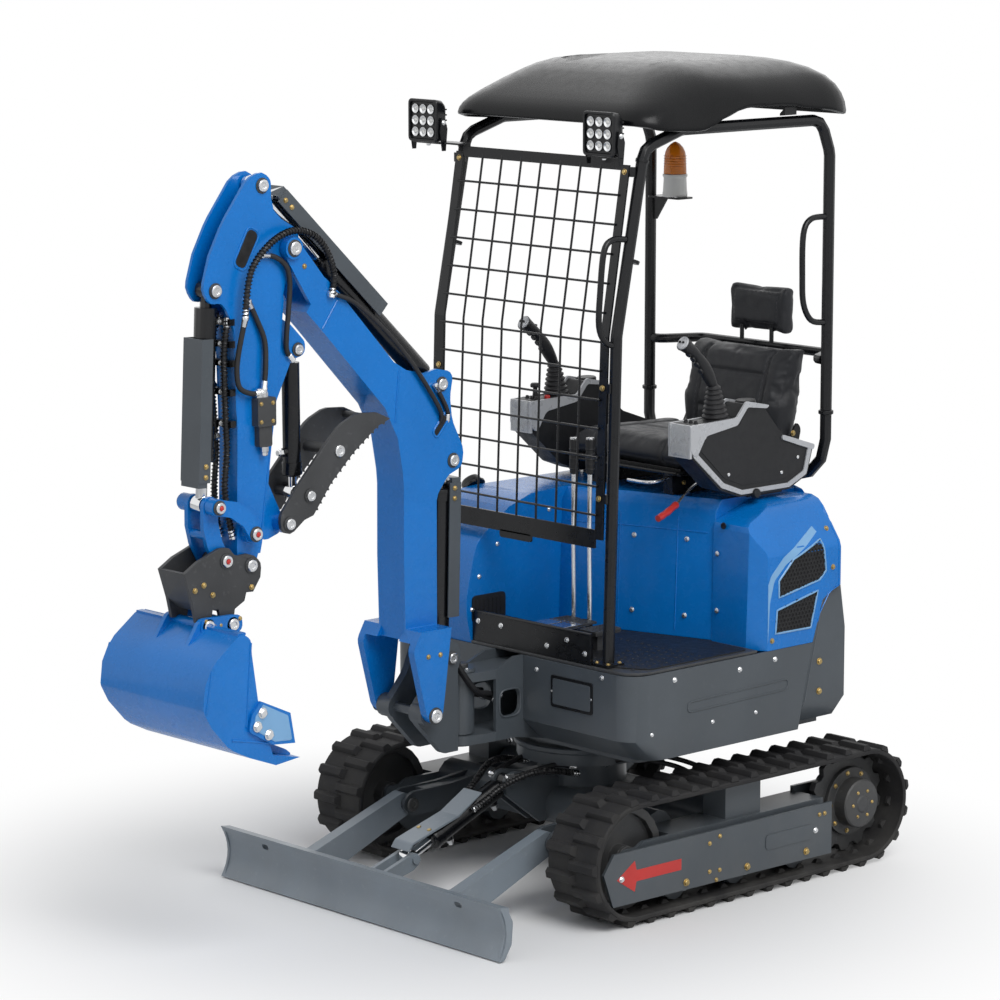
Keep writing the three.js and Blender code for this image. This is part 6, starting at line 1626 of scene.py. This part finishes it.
def frame_finishes(f, sizes):
    """Gives every CAD node its finish, and rounds its edges."""
    given = set()
    for finish_name, names in CAD_FINISHES.items():
        for name in names:
            node = frame["nodes"][name]
            node.data.materials.clear()
            node.data.materials.append(f[finish_name])
            given.add(name)
            thin = name in TIGHT_EDGES or "canopy" in name
            soften(node, 0.0006 if thin else sizes.edge if finish_name == "blue" else 0.0014, weld=True)
    for name, (base, eye) in GUARDED_RODS.items():
        node = frame["nodes"][f"{name}_cylinder_rod"]
        node.data.materials.clear()
        node.data.materials.append(f["chrome"])
        node.data.materials.append(f["grey"])
        a, b = Vector((0, *base)), Vector((0, *eye))
        way, length = (b - a).normalized(), (b - a).length
        for face in node.data.polygons:
            p = Vector((face.center.x, face.center.y - SLEW_Y, face.center.z)) / MM
            off = p - a - way * (p - a).dot(way)
            along = length - (p - a).dot(way)
            guard = off.length > 24 and along > 36 or (abs(p.x) > 20 and along > 36)
            face.material_index = 1 if guard else 0
        soften(node, 0.0008, weld=True)
        given.add(f"{name}_cylinder_rod")
    missing = set(frame["nodes"]) - given
    if missing:
        raise RuntimeError(f"no finish for {sorted(missing)}")


# ---------- stage ----------
def studio(settings):
    """Floor, even light, two lamps and the camera."""
    scene = bpy.context.scene
    scene.view_settings.view_transform = "Standard"
    world = bpy.data.worlds.new("Even light")
    scene.world = world
    world.use_nodes = True
    nodes, links = world.node_tree.nodes, world.node_tree.links
    nodes.clear()
    output = nodes.new("ShaderNodeOutputWorld")
    light, seen = nodes.new("ShaderNodeBackground"), nodes.new("ShaderNodeBackground")
    light.inputs["Color"].default_value = (0.95, 0.97, 1, 1)
    light.inputs["Strength"].default_value = settings.sky
    seen.inputs["Color"].default_value = (1, 1, 1, 1)
    mix = nodes.new("ShaderNodeMixShader")
    rays = nodes.new("ShaderNodeLightPath")
    first, second = nodes.new("ShaderNodeMath"), nodes.new("ShaderNodeMath")
    first.operation = second.operation = "MAXIMUM"
    links.new(rays.outputs["Is Camera Ray"], first.inputs[0])
    links.new(rays.outputs["Is Glossy Ray"], first.inputs[1])
    links.new(first.outputs[0], second.inputs[0])
    links.new(rays.outputs["Is Transmission Ray"], second.inputs[1])
    links.new(second.outputs[0], mix.inputs[0])
    links.new(light.outputs[0], mix.inputs[1])
    links.new(seen.outputs[0], mix.inputs[2])
    links.new(mix.outputs[0], output.inputs["Surface"])

    mesh = bpy.data.meshes.new("Floor")
    reach = 14
    mesh.from_pydata([(-reach, -reach, 0), (reach, -reach, 0), (reach, reach, 0), (-reach, reach, 0)], [],
        [(0, 1, 2, 3)])
    floor = bpy.data.objects.new("Floor", mesh)
    scene.collection.objects.link(floor)
    material = bpy.data.materials.new("pale_floor")
    material.use_nodes = True
    nodes, links = material.node_tree.nodes, material.node_tree.links
    shader = nodes["Principled BSDF"]
    shader.inputs["Base Color"].default_value = (*settings.floor, 1)
    shader.inputs["Roughness"].default_value = 0.9
    glow_node = nodes.new("ShaderNodeEmission")
    glow_node.inputs["Color"].default_value = (1, 1, 1, 1)
    fade = nodes.new("ShaderNodeMixShader")
    place = nodes.new("ShaderNodeTexCoord")
    length = nodes.new("ShaderNodeVectorMath")
    spread = nodes.new("ShaderNodeMapRange")
    length.operation = "LENGTH"
    spread.inputs["From Min"].default_value = 0.55
    spread.inputs["From Max"].default_value = 1.75
    spread.interpolation_type = "SMOOTHSTEP"
    camera_only = nodes.new("ShaderNodeMath")
    camera_only.operation = "MULTIPLY"
    path = nodes.new("ShaderNodeLightPath")
    links.new(place.outputs["Object"], length.inputs[0])
    links.new(length.outputs["Value"], spread.inputs["Value"])
    links.new(spread.outputs["Result"], camera_only.inputs[0])
    links.new(path.outputs["Is Camera Ray"], camera_only.inputs[1])
    links.new(camera_only.outputs[0], fade.inputs[0])
    links.new(shader.outputs[0], fade.inputs[1])
    links.new(glow_node.outputs[0], fade.inputs[2])
    links.new(fade.outputs[0], nodes["Material Output"].inputs["Surface"])
    mesh.materials.append(material)

    for name, place_at, size, power in (("Key", (5.2, -1.2, 6.4), 4.5, settings.key),
        ("Fill", (-2.5, -7, 3.5), 5, settings.fill),
                                        ("Back", (-4, 5, 5), 5, settings.fill)):
        lamp = bpy.data.lights.new(name, "AREA")
        lamp.energy, lamp.size = power, size
        made = bpy.data.objects.new(name, lamp)
        made.location = place_at
        made.rotation_euler = (Vector((0, 0.2, 0.9)) - Vector(place_at)).to_track_quat("-Z", "Y").to_euler()
        scene.collection.objects.link(made)

    camera = bpy.data.cameras.new("Camera")
    camera.lens, camera.sensor_width = 136.75, 36
    made = bpy.data.objects.new("Camera", camera)
    azimuth, elevation = math.radians(47.21), math.radians(9.70)
    back = Vector((math.sin(azimuth) * math.cos(elevation), -math.cos(azimuth) * math.cos(elevation),
        math.sin(elevation)))
    made.location = (7.054, -6.826 + SLEW_Y, 2.658)
    made.rotation_euler = (-back).to_track_quat("-Z", "Y").to_euler()
    scene.collection.objects.link(made)
    scene.camera = made


# ---------- add-on ----------
class EXCAVATOR_OT_stage(Operator):
    """Floor, light and camera"""

    bl_idname = "excavator.stage"
    bl_label = "Stage"

    def execute(self, context):
        studio(context.scene.excavator_studio)
        return {"FINISHED"}


class EXCAVATOR_OT_finishes(Operator):
    """Finishes and rounded edges of the fixed frame"""

    bl_idname = "excavator.finishes"
    bl_label = "Frame finishes"
    bl_options = {"REGISTER", "UNDO"}

    def execute(self, context):
        frame_finishes(finishes(), context.scene.excavator_sizes)
        return {"FINISHED"}


class EXCAVATOR_OT_tracks(Operator):
    """Rubber tracks with staggered lugs and guide horns"""

    bl_idname = "excavator.tracks"
    bl_label = "Tracks"
    bl_options = {"REGISTER", "UNDO"}

    def execute(self, context):
        rubber_tracks(finishes(), context.scene.excavator_sizes)
        return {"FINISHED"}


class EXCAVATOR_OT_running_gear(Operator):
    """Bolts, arrow and housings of the track frames"""

    bl_idname = "excavator.running_gear"
    bl_label = "Running gear"
    bl_options = {"REGISTER", "UNDO"}

    def execute(self, context):
        running_gear(finishes(), context.scene.excavator_sizes)
        return {"FINISHED"}


class EXCAVATOR_OT_blade(Operator):
    """Lip, wings and cover plate of the blade"""

    bl_idname = "excavator.blade"
    bl_label = "Blade"
    bl_options = {"REGISTER", "UNDO"}

    def execute(self, context):
        blade_detail(finishes(), context.scene.excavator_sizes)
        return {"FINISHED"}


class EXCAVATOR_OT_decks(Operator):
    """Skirt, floor and nose detail"""

    bl_idname = "excavator.decks"
    bl_label = "Skirt and floor"
    bl_options = {"REGISTER", "UNDO"}

    def execute(self, context):
        decks(finishes(), context.scene.excavator_sizes)
        return {"FINISHED"}


class EXCAVATOR_OT_hoods(Operator):
    """Grilles, painted highlight band and fittings of the hoods"""

    bl_idname = "excavator.hoods"
    bl_label = "Hoods"
    bl_options = {"REGISTER", "UNDO"}

    def execute(self, context):
        hoods(finishes(), context.scene.excavator_sizes)
        return {"FINISHED"}


class EXCAVATOR_OT_screen(Operator):
    """Welded screen in front of the driver"""

    bl_idname = "excavator.screen"
    bl_label = "Front screen"
    bl_options = {"REGISTER", "UNDO"}

    def execute(self, context):
        mesh_guard(finishes(), context.scene.excavator_sizes)
        return {"FINISHED"}


class EXCAVATOR_OT_roof(Operator):
    """Moulded roof with arched sides"""

    bl_idname = "excavator.roof"
    bl_label = "Roof"
    bl_options = {"REGISTER", "UNDO"}

    def execute(self, context):
        roof(finishes(), context.scene.excavator_sizes)
        return {"FINISHED"}


class EXCAVATOR_OT_canopy(Operator):
    """Handles, lamps and beacon"""

    bl_idname = "excavator.canopy"
    bl_label = "Canopy fittings"
    bl_options = {"REGISTER", "UNDO"}

    def execute(self, context):
        canopy_detail(finishes(), context.scene.excavator_sizes)
        return {"FINISHED"}


class EXCAVATOR_OT_seat(Operator):
    """Padded seat and its fittings"""

    bl_idname = "excavator.seat"
    bl_label = "Seat"
    bl_options = {"REGISTER", "UNDO"}

    def execute(self, context):
        seat(finishes(), context.scene.excavator_sizes)
        return {"FINISHED"}


class EXCAVATOR_OT_consoles(Operator):
    """Consoles, sticks, levers and pedals"""

    bl_idname = "excavator.consoles"
    bl_label = "Controls"
    bl_options = {"REGISTER", "UNDO"}

    def execute(self, context):
        consoles(finishes(), context.scene.excavator_sizes)
        return {"FINISHED"}


class EXCAVATOR_OT_pins(Operator):
    """Pin ends and lock plates"""

    bl_idname = "excavator.pins"
    bl_label = "Pins"
    bl_options = {"REGISTER", "UNDO"}

    def execute(self, context):
        pin_ends(finishes(), context.scene.excavator_sizes)
        return {"FINISHED"}


class EXCAVATOR_OT_panels(Operator):
    """Slots, welds and blocks on the boom and the arm"""

    bl_idname = "excavator.panels"
    bl_label = "Boom and arm"
    bl_options = {"REGISTER", "UNDO"}

    def execute(self, context):
        front_panels(finishes(), context.scene.excavator_sizes)
        return {"FINISHED"}


class EXCAVATOR_OT_cylinders(Operator):
    """Glands and ports of the cylinders"""

    bl_idname = "excavator.cylinders"
    bl_label = "Cylinders"
    bl_options = {"REGISTER", "UNDO"}

    def execute(self, context):
        rods(finishes(), context.scene.excavator_sizes)
        return {"FINISHED"}


class EXCAVATOR_OT_bucket(Operator):
    """Cutters, welds and shanks of the bucket and teeth of the thumb"""

    bl_idname = "excavator.bucket"
    bl_label = "Bucket and thumb"
    bl_options = {"REGISTER", "UNDO"}

    def execute(self, context):
        bucket_detail(finishes(), context.scene.excavator_sizes)
        return {"FINISHED"}


class EXCAVATOR_OT_hoses(Operator):
    """Hydraulic hoses"""

    bl_idname = "excavator.hoses"
    bl_label = "Hoses"
    bl_options = {"REGISTER", "UNDO"}

    def execute(self, context):
        hoses(finishes(), context.scene.excavator_sizes)
        return {"FINISHED"}


OPERATORS = (
    EXCAVATOR_OT_stage, EXCAVATOR_OT_finishes, EXCAVATOR_OT_tracks, EXCAVATOR_OT_running_gear,
        EXCAVATOR_OT_blade,
    EXCAVATOR_OT_decks, EXCAVATOR_OT_hoods, EXCAVATOR_OT_screen, EXCAVATOR_OT_roof, EXCAVATOR_OT_canopy,
    EXCAVATOR_OT_seat, EXCAVATOR_OT_consoles, EXCAVATOR_OT_pins, EXCAVATOR_OT_panels, EXCAVATOR_OT_cylinders,
    EXCAVATOR_OT_bucket, EXCAVATOR_OT_hoses,
)


class EXCAVATOR_PT_pieces(Panel):
    """Lists the machine's pieces and their settings"""

    bl_idname = "EXCAVATOR_PT_pieces"
    bl_label = "Compact Excavator"
    bl_space_type = "VIEW_3D"
    bl_region_type = "UI"
    bl_category = "Excavator"

    def draw(self, context):
        for operator in OPERATORS:
            self.layout.operator(operator.bl_idname)
        for group in ("excavator_colours", "excavator_sizes", "excavator_studio"):
            settings = getattr(context.scene, group)
            box = self.layout.box()
            for name in type(settings).__annotations__:
                box.prop(settings, name)


CLASSES = (ExcavatorColours, ExcavatorSizes, ExcavatorStudio, *OPERATORS, EXCAVATOR_PT_pieces)


def register():
    for cls in CLASSES:
        bpy.utils.register_class(cls)
    bpy.types.Scene.excavator_colours = PointerProperty(type=ExcavatorColours)
    bpy.types.Scene.excavator_sizes = PointerProperty(type=ExcavatorSizes)
    bpy.types.Scene.excavator_studio = PointerProperty(type=ExcavatorStudio)


def unregister():
    del bpy.types.Scene.excavator_colours
    del bpy.types.Scene.excavator_sizes
    del bpy.types.Scene.excavator_studio
    for cls in reversed(CLASSES):
        bpy.utils.unregister_class(cls)


def main():
    register()
    for operator in OPERATORS:
        group, name = operator.bl_idname.split(".")
        getattr(getattr(bpy.ops, group), name)()


if __name__ == "__main__":
    main()
